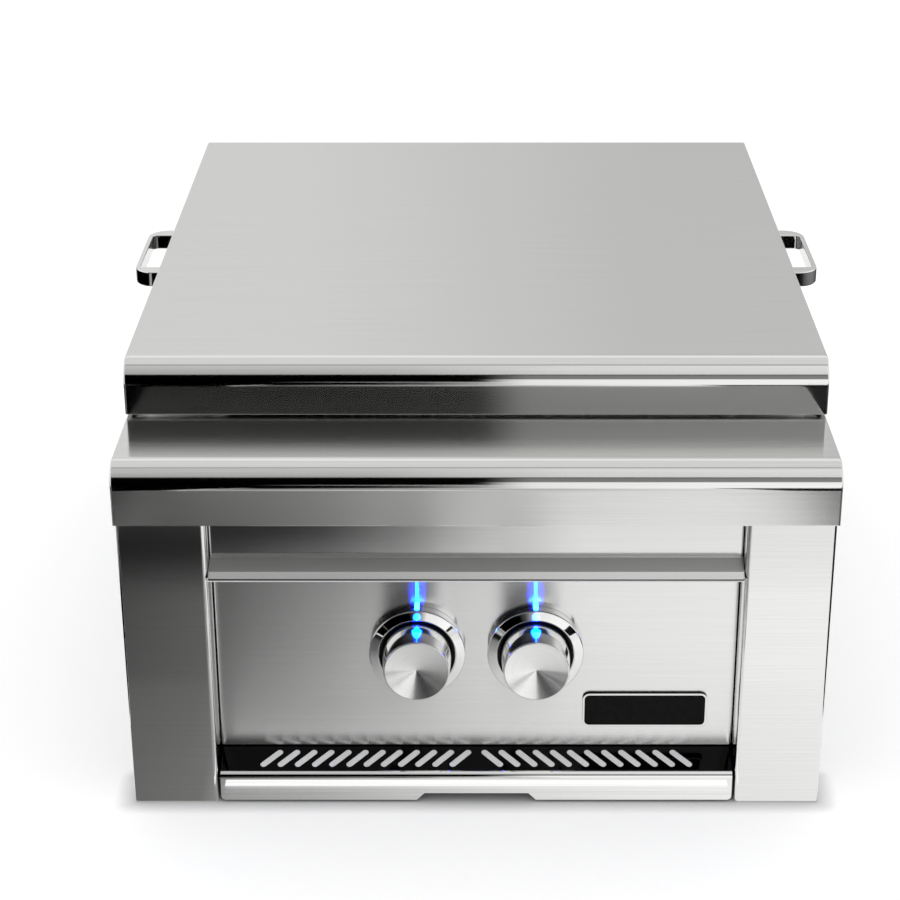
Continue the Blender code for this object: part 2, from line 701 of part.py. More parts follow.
def pan(half, front, back, bottom, top, corner, rim, thickness=SHEET):
    """Open pan with round corners and a rim turned outwards."""
    centre = (0.0, (front + back) / 2)
    depth = back - front

    def loop(grow, height):
        outline = rectangle(2 * (half + grow), depth + 2 * grow, corner + grow, centre)
        return [place("Z", point, height) for point in outline]

    loops = [loop(0.0, bottom)]
    if rim > 0.0:
        loops += [loop(0.0, top - thickness), loop(rim, top - thickness), loop(rim, top)]
    else:
        loops += [loop(0.0, top)]
    loops += [loop(-thickness, top), loop(-thickness, bottom + thickness)]
    return loft(loops)


def base_pan(shop):
    """Base sheet with upturned sides and two columns of vent slots."""
    back = CASING_BACK_Y - SHEET - SIDE_GAP
    outline = sheet([(-BASE_HALF, BASE_RIM), (-BASE_HALF, 0.0, TIGHT_BEND),
                     (BASE_HALF, 0.0, TIGHT_BEND), (BASE_HALF, BASE_RIM)], SHEET)
    base = shop.piece("base_pan", prism(outline, "Y", CASING_FRONT_Y, back), "galvanised")
    bm = bmesh.new()
    for s in (-1, 1):
        for k in range(VENT_COUNT):
            y = OPENING_CENTRE_Y + (k - (VENT_COUNT - 1) / 2) * VENT_PITCH
            slot = obround((s * VENT_COLUMN_X, y), VENT_LENGTH, VENT_WIDTH, 0.0)
            add_prism(bm, slot, "Z", -SHEET, 3 * SHEET)
    change(base, shop.tool("base_vents", bm), "DIFFERENCE")


def firebox(shop):
    """Rounded pan under the deck opening, with a collared hole for the burner."""
    grow = FIREBOX_CLEAR / 2 + SHEET
    front = OPENING_CENTRE_Y - OPENING_DEPTH / 2 - grow
    back = OPENING_CENTRE_Y + OPENING_DEPTH / 2 + grow
    bottom = FIREBOX_FLOOR - SHEET
    top = DECK_UNDER - SEAT_GAP
    bm = pan(OPENING_WIDTH / 2 + grow, front, back, bottom, top, OPENING_CORNER, FIREBOX_FLANGE)
    box = shop.piece("firebox_pan", bm, "galvanised")
    centre = (0.0, OPENING_CENTRE_Y, 0.0)
    collar = [(FIREBOX_HOLE, bottom + SHEET / 4), (FIREBOX_HOLE + SHEET, bottom + SHEET / 4),
              (FIREBOX_HOLE + SHEET, FIREBOX_FLOOR + FIREBOX_COLLAR),
              (FIREBOX_HOLE, FIREBOX_FLOOR + FIREBOX_COLLAR)]
    hole = rod(FIREBOX_HOLE + SHEET / 2, bottom - SHEET, FIREBOX_FLOOR + SHEET, "Z", ROUND_STEPS)
    change(box, shop.tool("burner_hole", hole, centre), "DIFFERENCE")
    change(box, shop.tool("burner_collar", turned(collar, "Z"), centre), "UNION")


def ring_bowl(bore, radius):
    """Profile of a burner bowl: an annular trough, or a cup when the bore is 0."""
    top = BOWL_BOTTOM + BOWL_HEIGHT
    floor = BOWL_BOTTOM + BOWL_WALL
    outside = [(radius, BOWL_BOTTOM), (radius, top), (radius - BOWL_WALL, top),
               (radius - BOWL_WALL, floor)]
    if bore > 0.0:
        inside = [(bore + BOWL_WALL, floor), (bore + BOWL_WALL, top), (bore, top),
                  (bore, BOWL_BOTTOM)]
    else:
        inside = [(0.0, floor), (0.0, BOWL_BOTTOM)]
    return outside + inside


def ring_cap(bore, radius):
    """Profile of a port ring: tapered walls over a gas channel open below."""
    top = CAP_BOTTOM + CAP_HEIGHT
    roof = top - CAP_WALL
    outside = [(radius, CAP_BOTTOM), (radius, CAP_BOTTOM + PORT_HEIGHT), (radius - CAP_TAPER, top)]
    if bore > 0.0:
        outside += [(bore + CAP_TAPER, top), (bore, CAP_BOTTOM + PORT_HEIGHT), (bore, CAP_BOTTOM),
                    (bore + CAP_WALL, CAP_BOTTOM), (bore + CAP_WALL + CAP_TAPER / 2, roof)]
    else:
        outside += [(0.0, top + CAP_TAPER / 2), (0.0, roof)]
    return outside + [(radius - CAP_WALL - CAP_TAPER / 2, roof), (radius - CAP_WALL, CAP_BOTTOM)]


def port_cutter(bm, count, low, high):
    """Radial flame ports, cut up from the seat of a cap."""
    bottom = CAP_BOTTOM - PORT_HEIGHT
    top = CAP_BOTTOM + PORT_HEIGHT * 0.75
    for k in range(count):
        angle = 2 * math.pi * (k + 0.5) / count
        c, s = math.cos(angle), math.sin(angle)
        corners = ((low, -PORT_WIDTH / 2), (high, -PORT_WIDTH / 2), (high, PORT_WIDTH / 2),
                   (low, PORT_WIDTH / 2))
        outline = [(r * c - w * s, r * s + w * c) for r, w in corners]
        add_prism(bm, outline, "Z", bottom, top)


def burners(shop):
    """Outer and inner ring burners: cast bowls, ported brass caps and their carrier."""
    centre = (0.0, OPENING_CENTRE_Y, 0.0)
    feed_x, feed_y = outer_feed()
    inlet = MIXER_RADIUS - VENTURI_WALL
    start, end = BOWL_BOTTOM - BOWL_WALL, BOWL_BOTTOM + 2 * BOWL_WALL
    bm = turned(ring_bowl(OUTER_RING_BORE, OUTER_RING_RADIUS), "Z", 2 * SMALL_STEPS)
    bowl = shop.piece("outer_burner_bowl", bm, "cast_alloy", centre)
    hole = shop.tool("outer_feed_hole", rod(inlet, start, end, "Z"), (feed_x, feed_y, 0.0))
    change(bowl, hole, "DIFFERENCE")
    bm = turned(ring_bowl(0.0, INNER_RING_RADIUS), "Z", SMALL_STEPS)
    bowl = shop.piece("inner_burner_bowl", bm, "cast_alloy", centre)
    hole = shop.tool("inner_feed_hole", rod(inlet, start, end, "Z"), centre)
    change(bowl, hole, "DIFFERENCE")
    bm = turned(ring_cap(OUTER_RING_BORE, OUTER_RING_RADIUS), "Z", 2 * SMALL_STEPS)
    cap = shop.piece("outer_flame_ring", bm, "brass", centre)
    bm = bmesh.new()
    channel = CAP_WALL + CAP_TAPER / 2
    port_cutter(bm, OUTER_PORT_COUNT, OUTER_RING_RADIUS - channel, OUTER_RING_RADIUS + CAP_WALL)
    port_cutter(bm, BORE_PORT_COUNT, OUTER_RING_BORE - CAP_WALL, OUTER_RING_BORE + channel)
    change(cap, shop.tool("outer_ports", bm, centre), "DIFFERENCE")
    bm = turned(ring_cap(0.0, INNER_RING_RADIUS), "Z", 2 * SMALL_STEPS)
    cap = shop.piece("inner_flame_cap", bm, "brass", centre)
    bm = bmesh.new()
    port_cutter(bm, INNER_PORT_COUNT, INNER_RING_RADIUS - channel, INNER_RING_RADIUS + CAP_WALL)
    change(cap, shop.tool("inner_ports", bm, centre), "DIFFERENCE")
    carrier(shop)


def carrier(shop):
    """Hat-shaped bar under the firebox floor that the bowls stand on."""
    high = FIREBOX_FLOOR - SHEET - SEAT_GAP
    low = BOWL_BOTTOM - SEAT_GAP
    step = OUTER_RING_RADIUS + 2 * BOWL_WALL
    outline = sheet([(-SUPPORT_REACH, high), (-step - BOWL_WALL, high, TIGHT_BEND),
                     (-step, low, TIGHT_BEND), (step, low, TIGHT_BEND),
                     (step + BOWL_WALL, high, TIGHT_BEND),
                     (SUPPORT_REACH, high)], -SHEET, 2)
    near = OPENING_CENTRE_Y - SUPPORT_WIDTH / 2
    bar = shop.piece("burner_carrier", prism(outline, "Y", near, near + SUPPORT_WIDTH),
                     "galvanised")
    hole = rod(MIXER_RADIUS + SIDE_GAP, low - 4 * SHEET, low + 4 * SHEET, "Z")
    centre = (0.0, OPENING_CENTRE_Y, 0.0)
    change(bar, shop.tool("carrier_hole", hole, centre), "DIFFERENCE")


def outer_feed():
    """Where the outer venturi rises into the middle of the ring channel."""
    middle = (OUTER_RING_RADIUS + OUTER_RING_BORE) / 2
    back = math.sqrt(middle ** 2 - KNOB_X ** 2)
    return -KNOB_X, OPENING_CENTRE_Y - back


def venturis(shop):
    """Mixer tubes from the orifices up into the two bowls, with face plates and shutters."""
    top = BOWL_BOTTOM - SEAT_GAP
    feed_x, feed_y = outer_feed()
    pipe(shop, "outer_venturi", [(-KNOB_X, VENTURI_Y, KNOB_Z), (feed_x, feed_y, KNOB_Z),
                                 (feed_x, feed_y, top)],
         MIXER_RADIUS, VENTURI_WALL, "cast_alloy", VENTURI_BEND)
    bend_y = feed_y - 2 * VENTURI_BEND
    pipe(shop, "inner_venturi", [(KNOB_X, VENTURI_Y, KNOB_Z), (KNOB_X, bend_y, KNOB_Z),
                                 (0.0, bend_y + 2.2 * KNOB_X, KNOB_Z),
                                 (0.0, OPENING_CENTRE_Y, KNOB_Z), (0.0, OPENING_CENTRE_Y, top)],
         MIXER_RADIUS, VENTURI_WALL, "cast_alloy", VENTURI_BEND)
    for burner, side, s in (("outer", "left", -1), ("inner", "right", 1)):
        at = (s * KNOB_X, 0.0, KNOB_Z)
        face = [(MIXER_HUB, MIXER_Y), (MIXER_RADIUS, MIXER_Y),
                (MIXER_RADIUS, MIXER_Y + SHUTTER_THICK), (MIXER_HUB, MIXER_Y + SHUTTER_THICK)]
        plate = shop.piece(f"{burner}_mixer_face", turned(face, "Y", ROUND_STEPS), "cast_alloy", at)
        change(plate, shop.tool(f"{burner}_face_holes", air_holes(MIXER_Y), at), "DIFFERENCE")
        disc = [(MIXER_HUB, SHUTTER_Y), (MIXER_RADIUS, SHUTTER_Y),
                (MIXER_RADIUS, SHUTTER_Y + SHUTTER_THICK), (MIXER_HUB, SHUTTER_Y + SHUTTER_THICK)]
        shutter = shop.piece(f"{side}_air_shutter", turned(disc, "Y", ROUND_STEPS), "galvanised", at)
        tab = block((-SHUTTER_TAB / 3, SHUTTER_Y, -MIXER_RADIUS - SHUTTER_TAB),
                    (SHUTTER_TAB / 3, SHUTTER_Y + SHUTTER_THICK, SHEET - MIXER_RADIUS))
        change(shutter, shop.tool(f"{side}_shutter_tab", tab, at), "UNION")
        holes = shop.tool(f"{side}_shutter_holes", air_holes(SHUTTER_Y), at)
        change(shutter, holes, "DIFFERENCE")


def air_holes(front):
    """Round air windows through a thin disc."""
    bm = bmesh.new()
    for k in range(AIR_HOLES):
        angle = 2 * math.pi * k / AIR_HOLES + math.pi / 2
        centre = (AIR_HOLE_CIRCLE * math.cos(angle), AIR_HOLE_CIRCLE * math.sin(angle))
        add_prism(bm, circle(AIR_HOLE_RADIUS, centre, 10), "Y", front - SHUTTER_THICK,
                  front + 2 * SHUTTER_THICK)
    return bm


def valves(shop):
    """Two gas valves, each a body with a turning plug, a sliding stem, a knob and a bezel."""
    for side, s in (("left", -1), ("right", 1)):
        at = (s * KNOB_X, 0.0, KNOB_Z)
        valve_body(shop, side, at)
        socket = STEM_RADIUS + SEAT_GAP
        end = PLUG_START_Y + PLUG_LENGTH
        plug = [(socket, PLUG_START_Y), (PLUG_RADIUS, PLUG_START_Y), (PLUG_RADIUS, end),
                (0.0, end), (0.0, PLUG_START_Y + PLUG_SOCKET),
                (socket, PLUG_START_Y + PLUG_SOCKET)]
        core = shop.piece(f"{side}_valve_plug", turned(plug, "Y", SMALL_STEPS), "brass", at)
        port_y = (PLUG_START_Y + PLUG_SOCKET + end) / 2
        port = rod(OUTLET_RADIUS / 2, -VALVE_HALF, VALVE_HALF, "X", 8)
        port_at = (at[0], port_y, KNOB_Z)
        change(core, shop.tool(f"{side}_plug_port", port, port_at), "DIFFERENCE")
        start = KNOB_FACE_Y + KNOB_CAP + SEAT_GAP
        stem = shop.piece(f"{side}_valve_stem", rod(STEM_RADIUS, start, STEM_END_Y), "brass", at)
        flat = block((-STEM_RADIUS * 2, start + KNOB_CAP, STEM_FLAT),
                     (STEM_RADIUS * 2, STEM_END_Y + SHEET, STEM_RADIUS * 2))
        change(stem, shop.tool(f"{side}_stem_flat", flat, at), "DIFFERENCE")
        knob(shop, side, at)
        bezel(shop, side, at)


def valve_body(shop, side, at):
    """Chamfered valve block with a neck, a plug bore and a gas outlet."""
    chamfer = VALVE_HALF / 3
    outline = rounded([(-VALVE_HALF, -VALVE_HALF, chamfer), (VALVE_HALF, -VALVE_HALF, chamfer),
                       (VALVE_HALF, VALVE_HALF, chamfer), (-VALVE_HALF, VALVE_HALF, chamfer)],
                      2, closed=True)
    body = shop.piece(f"{side}_valve_body", prism(outline, "Y", VALVE_FRONT_Y, VALVE_BACK_Y),
                      "cast_alloy", at)
    neck = rod(VALVE_NECK_RADIUS, VALVE_NECK_Y, VALVE_FRONT_Y + SHEET)
    change(body, shop.tool(f"{side}_neck", neck, at), "UNION")
    end = PLUG_START_Y + PLUG_LENGTH + SEAT_GAP
    bore = rod(PLUG_RADIUS + SEAT_GAP, VALVE_NECK_Y - SHEET, end)
    change(body, shop.tool(f"{side}_bore", bore, at), "DIFFERENCE")
    outlet = rod(OUTLET_RADIUS, end - SHEET, VALVE_BACK_Y + SHEET, "Y", 10)
    change(body, shop.tool(f"{side}_outlet", outlet, at), "DIFFERENCE")


def knob(shop, side, at):
    """Tapered metal knob, hollow behind, with a hub bored for the stem."""
    front = KNOB_FACE_Y
    inside = KNOB_FACE_Y + KNOB_CAP
    seat = STEM_RADIUS + SEAT_GAP
    profile = [(0.0, front), (KNOB_FACE_RADIUS - KNOB_EDGE, front),
               (KNOB_FACE_RADIUS, front + KNOB_EDGE), (KNOB_BASE_RADIUS, KNOB_BASE_Y),
               (KNOB_BASE_RADIUS - KNOB_WALL, KNOB_BASE_Y), (KNOB_FACE_RADIUS - KNOB_WALL, inside),
               (KNOB_HUB_RADIUS, inside), (KNOB_HUB_RADIUS, KNOB_BASE_Y), (seat, KNOB_BASE_Y),
               (seat, inside), (0.0, inside)]
    shop.piece(f"{side}_knob", turned(profile, "Y", FINE_STEPS), "brushed", at)


def bezel(shop, side, at):
    """Turned cup round the knob, slotted at the top for its light."""
    back = PANEL_Y - SEAT_GAP
    shoulder = back - BEZEL_SIDE
    lip = shoulder - BEZEL_RISE
    throat = BEZEL_MOUTH - KNOB_EDGE
    profile = [(BEZEL_RADIUS, back), (BEZEL_RADIUS, shoulder), (BEZEL_MOUTH, lip),
               (throat, lip + KNOB_EDGE), (throat, back - BEZEL_FLOOR),
               (BEZEL_HOLE, back - BEZEL_FLOOR), (BEZEL_HOLE, back)]
    cup = shop.piece(f"{side}_bezel", turned(profile, "Y", FINE_STEPS), "polished", at)
    half = LIGHT_WIDTH / 2
    slot = block((-half - SEAT_GAP, back - LIGHT_DEPTH - SEAT_GAP, throat - 2 * SEAT_GAP),
                 (half + SEAT_GAP, back + SHEET, BEZEL_RADIUS + SHEET))
    change(cup, shop.tool(f"{side}_light_slot", slot, at), "DIFFERENCE")
    lens = block((-half, back - LIGHT_DEPTH, throat), (half, back, BEZEL_RADIUS + LIGHT_PROUD))
    shop.piece(f"{side}_light_lens", lens, "light", at)


def gas_train(shop):
    """Orifices, manifold, supply pipe and the inlet fitting behind the casing."""
    for side, s in (("left", -1), ("right", 1)):
        head = ORIFICE_Y + ORIFICE_HEAD
        tip = ORIFICE_Y + ORIFICE_LENGTH
        jet = [(ORIFICE_BORE, ORIFICE_Y), (ORIFICE_HEX, ORIFICE_Y), (ORIFICE_HEX, head),
               (ORIFICE_RADIUS, head), (ORIFICE_RADIUS, tip - ORIFICE_BORE),
               (ORIFICE_RADIUS / 2, tip), (ORIFICE_BORE, tip)]
        shop.piece(f"{side}_orifice", turned(jet, "Y", 12), "brass", (s * KNOB_X, 0.0, KNOB_Z))
    bore = MANIFOLD_RADIUS - MANIFOLD_WALL
    tube = [(0.0, -MANIFOLD_LEFT), (MANIFOLD_RADIUS, -MANIFOLD_LEFT),
            (MANIFOLD_RADIUS, MANIFOLD_RIGHT), (bore, MANIFOLD_RIGHT),
            (bore, MANIFOLD_WALL - MANIFOLD_LEFT), (0.0, MANIFOLD_WALL - MANIFOLD_LEFT)]
    at = (0.0, MANIFOLD_Y, MANIFOLD_Z)
    manifold = shop.piece("gas_manifold", turned(tube, "X", SMALL_STEPS), "galvanised", at)
    bm = bmesh.new()
    boss_top = MANIFOLD_DROP - VALVE_HALF - SEAT_GAP
    for s in (-1, 1):
        ring = circle(MANIFOLD_BOSS, (s * KNOB_X, 0.0), 12)
        add_prism(bm, ring, "Z", bore + MANIFOLD_WALL / 4, boss_top)
    change(manifold, shop.tool("manifold_bosses", bm, at), "UNION")
    start = MANIFOLD_RIGHT + SEAT_GAP
    pipe(shop, "gas_supply_pipe", [(start, MANIFOLD_Y, MANIFOLD_Z), (PIPE_X, MANIFOLD_Y, MANIFOLD_Z),
                                   (PIPE_X, CASING_BACK_Y, MANIFOLD_Z)],
         PIPE_RADIUS, PIPE_WALL, "galvanised", PIPE_BEND)
    near = CASING_BACK_Y + SEAT_GAP
    far = near + INLET_LENGTH
    neck = near + INLET_HEX_LENGTH
    body = [(INLET_BORE, neck - SHEET), (INLET_RADIUS, neck - SHEET), (INLET_RADIUS, far - SHEET),
            (INLET_RADIUS - SHEET, far), (INLET_BORE, far)]
    hexagon = [(INLET_BORE, near), (INLET_HEX, near), (INLET_HEX, neck), (INLET_BORE, neck)]
    at = (PIPE_X, 0.0, MANIFOLD_Z)
    fitting = shop.piece("gas_inlet_fitting", turned(hexagon, "Y", 6), "brass", at)
    change(fitting, shop.tool("inlet_nose", turned(body, "Y", SMALL_STEPS), at), "UNION")
    passage = rod(INLET_BORE, near - SHEET, far + SHEET, "Y", 12)
    change(fitting, shop.tool("inlet_passage", passage, at), "DIFFERENCE")


def ignition(shop):
    """Hot-surface igniter on its bracket, its module, and the low-voltage socket."""
    turn = (0.0, 0.0, math.radians(IGNITER_ANGLE))
    at = (0.0, OPENING_CENTRE_Y, 0.0)
    end = IGNITER_START + IGNITER_LENGTH
    profile = [(0.0, 0.0), (IGNITER_RADIUS, 0.0), (IGNITER_RADIUS, end - IGNITER_START),
               (0.0, end - IGNITER_START)]
    angle = math.radians(IGNITER_ANGLE)
    start = (IGNITER_START * math.cos(angle), OPENING_CENTRE_Y + IGNITER_START * math.sin(angle),
             IGNITER_Z)
    body = shop.piece("igniter", turned(profile, "X", 12), "ceramic", start, turn)
    tip = block((-IGNITER_TIP, -IGNITER_RADIUS / 2, -IGNITER_RADIUS / 4),
                (IGNITER_RADIUS, IGNITER_RADIUS / 2, IGNITER_RADIUS / 4))
    change(body, shop.tool("igniter_tip", tip, start, turn), "UNION")
    floor = FIREBOX_FLOOR + SEAT_GAP
    half = BRACKET_WIDTH / 2
    foot = BRACKET_DISTANCE + BRACKET_WIDTH
    outline = sheet([(foot, floor + SHEET), (BRACKET_DISTANCE, floor + SHEET, TIGHT_BEND),
                     (BRACKET_DISTANCE, IGNITER_Z + 2 * IGNITER_RADIUS)], SHEET, 2)
    bracket = shop.piece("igniter_bracket", prism(outline, "Y", -half, half), "galvanised",
                         at, turn)
    bore = rod(IGNITER_RADIUS + SEAT_GAP, BRACKET_DISTANCE - 3 * SHEET,
               BRACKET_DISTANCE + 3 * SHEET, "X", 12)
    bore_at = (0.0, OPENING_CENTRE_Y, IGNITER_Z)
    change(bracket, shop.tool("igniter_bore", bore, bore_at, turn), "DIFFERENCE")
    width, depth, height = MODULE_SIZE
    near = PANEL_Y + PANEL_SHEET + SEAT_GAP
    outline = rectangle(width, height, 3 * SHEET, (MODULE_X, MODULE_Z), 2)
    shop.piece("ignition_module", prism(outline, "Y", near, near + depth), "black")
    rear = CASING_BACK_Y + SEAT_GAP
    profile = [(0.0, rear - 2 * SOCKET_FLANGE), (SOCKET_RADIUS, rear - 2 * SOCKET_FLANGE),
               (SOCKET_RADIUS, rear), (SOCKET_FLANGE, rear), (SOCKET_FLANGE, rear + 2 * SHEET),
               (SOCKET_BORE, rear + 2 * SHEET), (SOCKET_BORE, rear - SOCKET_FLANGE),
               (0.0, rear - SOCKET_FLANGE)]
    shop.piece("power_socket", turned(profile, "Y", SMALL_STEPS), "black",
               (SOCKET_X, 0.0, SOCKET_Z))


def drip_tray(shop):
    """Sliding tray on two runners, with the slotted ledge and finger lip in front."""
    front = LEDGE_BACK_Y + SEAT_GAP
    back = front + TRAY_LENGTH
    bm = pan(TRAY_HALF, front, back, TRAY_BOTTOM, TRAY_RIM_Z, TRAY_CORNER, TRAY_RIM)
    shop.piece("drip_tray_pan", bm, "galvanised")
    ledge_top = TRAY_RIM_Z - SHEET - SEAT_GAP
    for side, s in (("left", -1), ("right", 1)):
        wall = s * (CASING_IN - SIDE_GAP / 2)
        shelf = s * (CASING_IN - RUNNER_LEDGE)
        outline = sheet([(wall, RUNNER_BOTTOM), (wall, ledge_top, TIGHT_BEND), (shelf, ledge_top)],
                        s * SHEET, 2)
        runner = prism(outline, "Y", RUNNER_FRONT_Y, back)
        shop.piece(f"{side}_tray_runner", runner, "galvanised")
    tray_front(shop)


def tray_front(shop):
    """Lip, bend and sloping ledge, slotted and notched, with closed ends."""
    rise = (LEDGE_BACK_Y - LIP_Y) * math.tan(math.radians(LEDGE_SLOPE))
    corner_z = LEDGE_BACK_Z - rise
    hem_bottom = TRAY_RIM_Z + SEAT_GAP
    path = [(LIP_Y, LIP_BOTTOM), (LIP_Y, corner_z, LIP_BEND),
            (LEDGE_BACK_Y, LEDGE_BACK_Z, TIGHT_BEND), (LEDGE_BACK_Y, hem_bottom)]
    outline = sheet(path, -SHEET)
    front = shop.piece("tray_front", prism(outline, "X", -FRONT_HALF, FRONT_HALF), "polished")
    inner = offset(rounded(path), -SHEET / 2)
    cheek = inner + [(LIP_Y + LEDGE_BACK_Y / 2, LIP_BOTTOM + LIP_BEND)]
    bm = bmesh.new()
    for s in (-1, 1):
        near, far = sorted((s * (FRONT_HALF - SHEET / 4), s * (FRONT_HALF - 5 * SHEET / 4)))
        add_prism(bm, cheek, "X", near, far)
    change(front, shop.tool("lip_cheeks", bm), "UNION")
    bm = bmesh.new()
    for s in (-1, 1):
        for k in range(SLOTS_A_SIDE):
            centre = (s * (SLOT_FIRST_X + k * SLOT_PITCH), SLOT_Y)
            slot = obround(centre, SLOT_LENGTH, SLOT_WIDTH, math.radians(-90 + 45 * s))
            add_prism(bm, slot, "Z", corner_z - LIP_BEND, LEDGE_BACK_Z + LIP_BEND)
    change(front, shop.tool("ledge_slots", bm), "DIFFERENCE")
    low, high = LIP_BOTTOM - NOTCH_HEIGHT, LIP_BOTTOM + NOTCH_HEIGHT
    narrow = NOTCH_HALF - NOTCH_HEIGHT
    notch = [(-NOTCH_HALF - NOTCH_HEIGHT, low), (NOTCH_HALF + NOTCH_HEIGHT, low), (narrow, high),
             (-narrow, high)]
    bm = prism(notch, "Y", LIP_Y - SHEET, LIP_Y + 3 * SHEET)
    change(front, shop.tool("finger_notch", bm), "DIFFERENCE")


def grates(shop):
    """Bar grate over the opening and the round centre that lifts out of it."""
    width = OPENING_WIDTH + 2 * GRATE_OVERLAP
    depth = OPENING_DEPTH + 2 * GRATE_OVERLAP
    centre = (0.0, OPENING_CENTRE_Y)
    loops = []
    rim_top = GRATE_BOTTOM + GRATE_HEIGHT
    for shrink, height in ((0.0, GRATE_BOTTOM), (0.0, rim_top), (GRATE_RIM, rim_top),
                           (GRATE_RIM, GRATE_BOTTOM)):
        outline = rectangle(width - 2 * shrink, depth - 2 * shrink, OPENING_CORNER - shrink, centre)
        loops.append([place("Z", point, height) for point in outline])
    bm = loft(loops)
    bm.faces.ensure_lookup_table()
    bmesh.ops.delete(bm, geom=list(bm.faces[-2:]), context="FACES_ONLY")
    rows = len(loops[0])
    bm.verts.ensure_lookup_table()
    for i in range(rows):
        j = (i + 1) % rows
        last = 3 * rows
        bm.faces.new((bm.verts[last + i], bm.verts[last + j], bm.verts[j], bm.verts[i]))
    grate = shop.piece("pot_grate", bm, "brushed")
    bm = bmesh.new()
    reach = width / 2 - GRATE_RIM / 2
    for k in range(GRATE_BARS):
        y = OPENING_CENTRE_Y + (k - (GRATE_BARS - 1) / 2) * depth / GRATE_BARS
        low, high = GRATE_BOTTOM + GRATE_BAR_DROP, GRATE_TOP
        ease = GRATE_BAR / 4
        section = [(y - GRATE_BAR / 2, low), (y + GRATE_BAR / 2, low),
                   (y + GRATE_BAR / 2, high - ease), (y + GRATE_BAR / 2 - ease, high),
                   (y - GRATE_BAR / 2 + ease, high), (y - GRATE_BAR / 2, high - ease)]
        add_prism(bm, section, "X", -reach, reach)
    change(grate, shop.tool("grate_bars", bm), "UNION")
    at = (0.0, OPENING_CENTRE_Y, 0.0)
    hole = rod(GRATE_HOLE + GRATE_RING / 2, GRATE_BOTTOM - GRATE_BAR, GRATE_TOP + GRATE_BAR, "Z",
               ROUND_STEPS)
    change(grate, shop.tool("grate_centre_hole", hole, at), "DIFFERENCE")
    ledge = GRATE_TOP - CENTRE_HEIGHT - SEAT_GAP
    ring = [(GRATE_HOLE, ledge), (GRATE_HOLE, GRATE_TOP - SHEET),
            (GRATE_HOLE + GRATE_RING, GRATE_TOP - SHEET),
            (GRATE_HOLE + GRATE_RING, GRATE_BOTTOM + SHEET),
            (GRATE_HOLE - GRATE_LUG, GRATE_BOTTOM + SHEET), (GRATE_HOLE - GRATE_LUG, ledge)]
    change(grate, shop.tool("grate_ring", turned(ring, "Z"), at), "UNION")
    centre_grate(shop, at)


def centre_grate(shop, at):
    """Ring with radial fingers that lifts out for a round-bottomed pan."""
    low, high = GRATE_TOP - CENTRE_HEIGHT, GRATE_TOP
    outer = GRATE_HOLE - CENTRE_CLEAR
    inner = outer - CENTRE_RING
    ring = [(outer, low), (outer, high), (inner, high), (inner, low)]
    middle = shop.piece("centre_grate", turned(ring, "Z"), "brushed", at)
    bm = bmesh.new()
    for k in range(CENTRE_FINGERS):
        angle = 2 * math.pi * k / CENTRE_FINGERS
        c, s = math.cos(angle), math.sin(angle)
        corners = ((CENTRE_HUB, -GRATE_BAR / 2), (inner + CENTRE_RING / 2, -GRATE_BAR / 2),
                   (inner + CENTRE_RING / 2, GRATE_BAR / 2), (CENTRE_HUB, GRATE_BAR / 2))
        outline = [(r * c - w * s, r * s + w * c) for r, w in corners]
        add_prism(bm, outline, "Z", low + SHEET / 2, high - SHEET / 2)
    change(middle, shop.tool("centre_fingers", bm, at), "UNION")


def build():
    """Make every piece, from the counter frame down to the drip tray."""
    shop = Shop()
    top_frame(shop)
    lid(shop)
    wings(shop)
    front_panels(shop)
    bare_plate(shop)
    casing(shop)
    firebox(shop)
    burners(shop)
    venturis(shop)
    valves(shop)
    gas_train(shop)
    ignition(shop)
    drip_tray(shop)
    grates(shop)


build()
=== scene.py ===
"""Looks for a built-in gas power burner: brushed covers, lid, knobs and their lights, and a studio.

Sizes are millimetres: x from the middle, y back from the fascia's face, z up from the floor.
"""
import json
import math

import bmesh
import bpy
import numpy as np
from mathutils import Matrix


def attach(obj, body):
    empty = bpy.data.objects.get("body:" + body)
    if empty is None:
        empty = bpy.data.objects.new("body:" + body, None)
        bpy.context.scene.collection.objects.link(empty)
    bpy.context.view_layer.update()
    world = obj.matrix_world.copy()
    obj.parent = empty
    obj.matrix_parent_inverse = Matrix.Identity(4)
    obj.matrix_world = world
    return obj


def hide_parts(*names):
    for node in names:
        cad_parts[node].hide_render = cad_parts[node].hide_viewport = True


MM = 0.001
FASCIA_Y = -335.0

# Counter frame, lid and handles
FRAME_HALF = 254.0
FRAME_BACK = 670.0
FRAME_UNDER = 228.6
FRAME_TOP = 273.3
FRAME_BEND = 17.7
FRAME_BACK_BEND = 3.0
DECK_HOLE = (-192.0, 192.0, 167.0, 579.0)
DECK_CORNER = 20.0
LID_HALF = 254.5
LID_FRONT = 88.4
LID_BACK = 658.0
LID_UNDER = 275.3
LID_TOP = 315.5
LID_BEND = 18.4
LID_BACK_BEND = 6.0
LID_HEM = 14.0
FLANGE_IN = 24.0
HEM_BEND = 0.4
EDGE_BEND = 1.5
PLAN_CORNER = 1.6
SHEET = 1.2
HANDLE_Y = 373.2
HANDLE_LONG = 108.4
HANDLE_ROOT = 254.8
HANDLE_TIP = 279.3
HANDLE_THICK = 4.0
HANDLE_LEG = 13.5
HANDLE_BEND = 17.0
GRIP_BEND = 3.0
HANDLE_LOW = 290.4
HANDLE_HIGH = 303.1

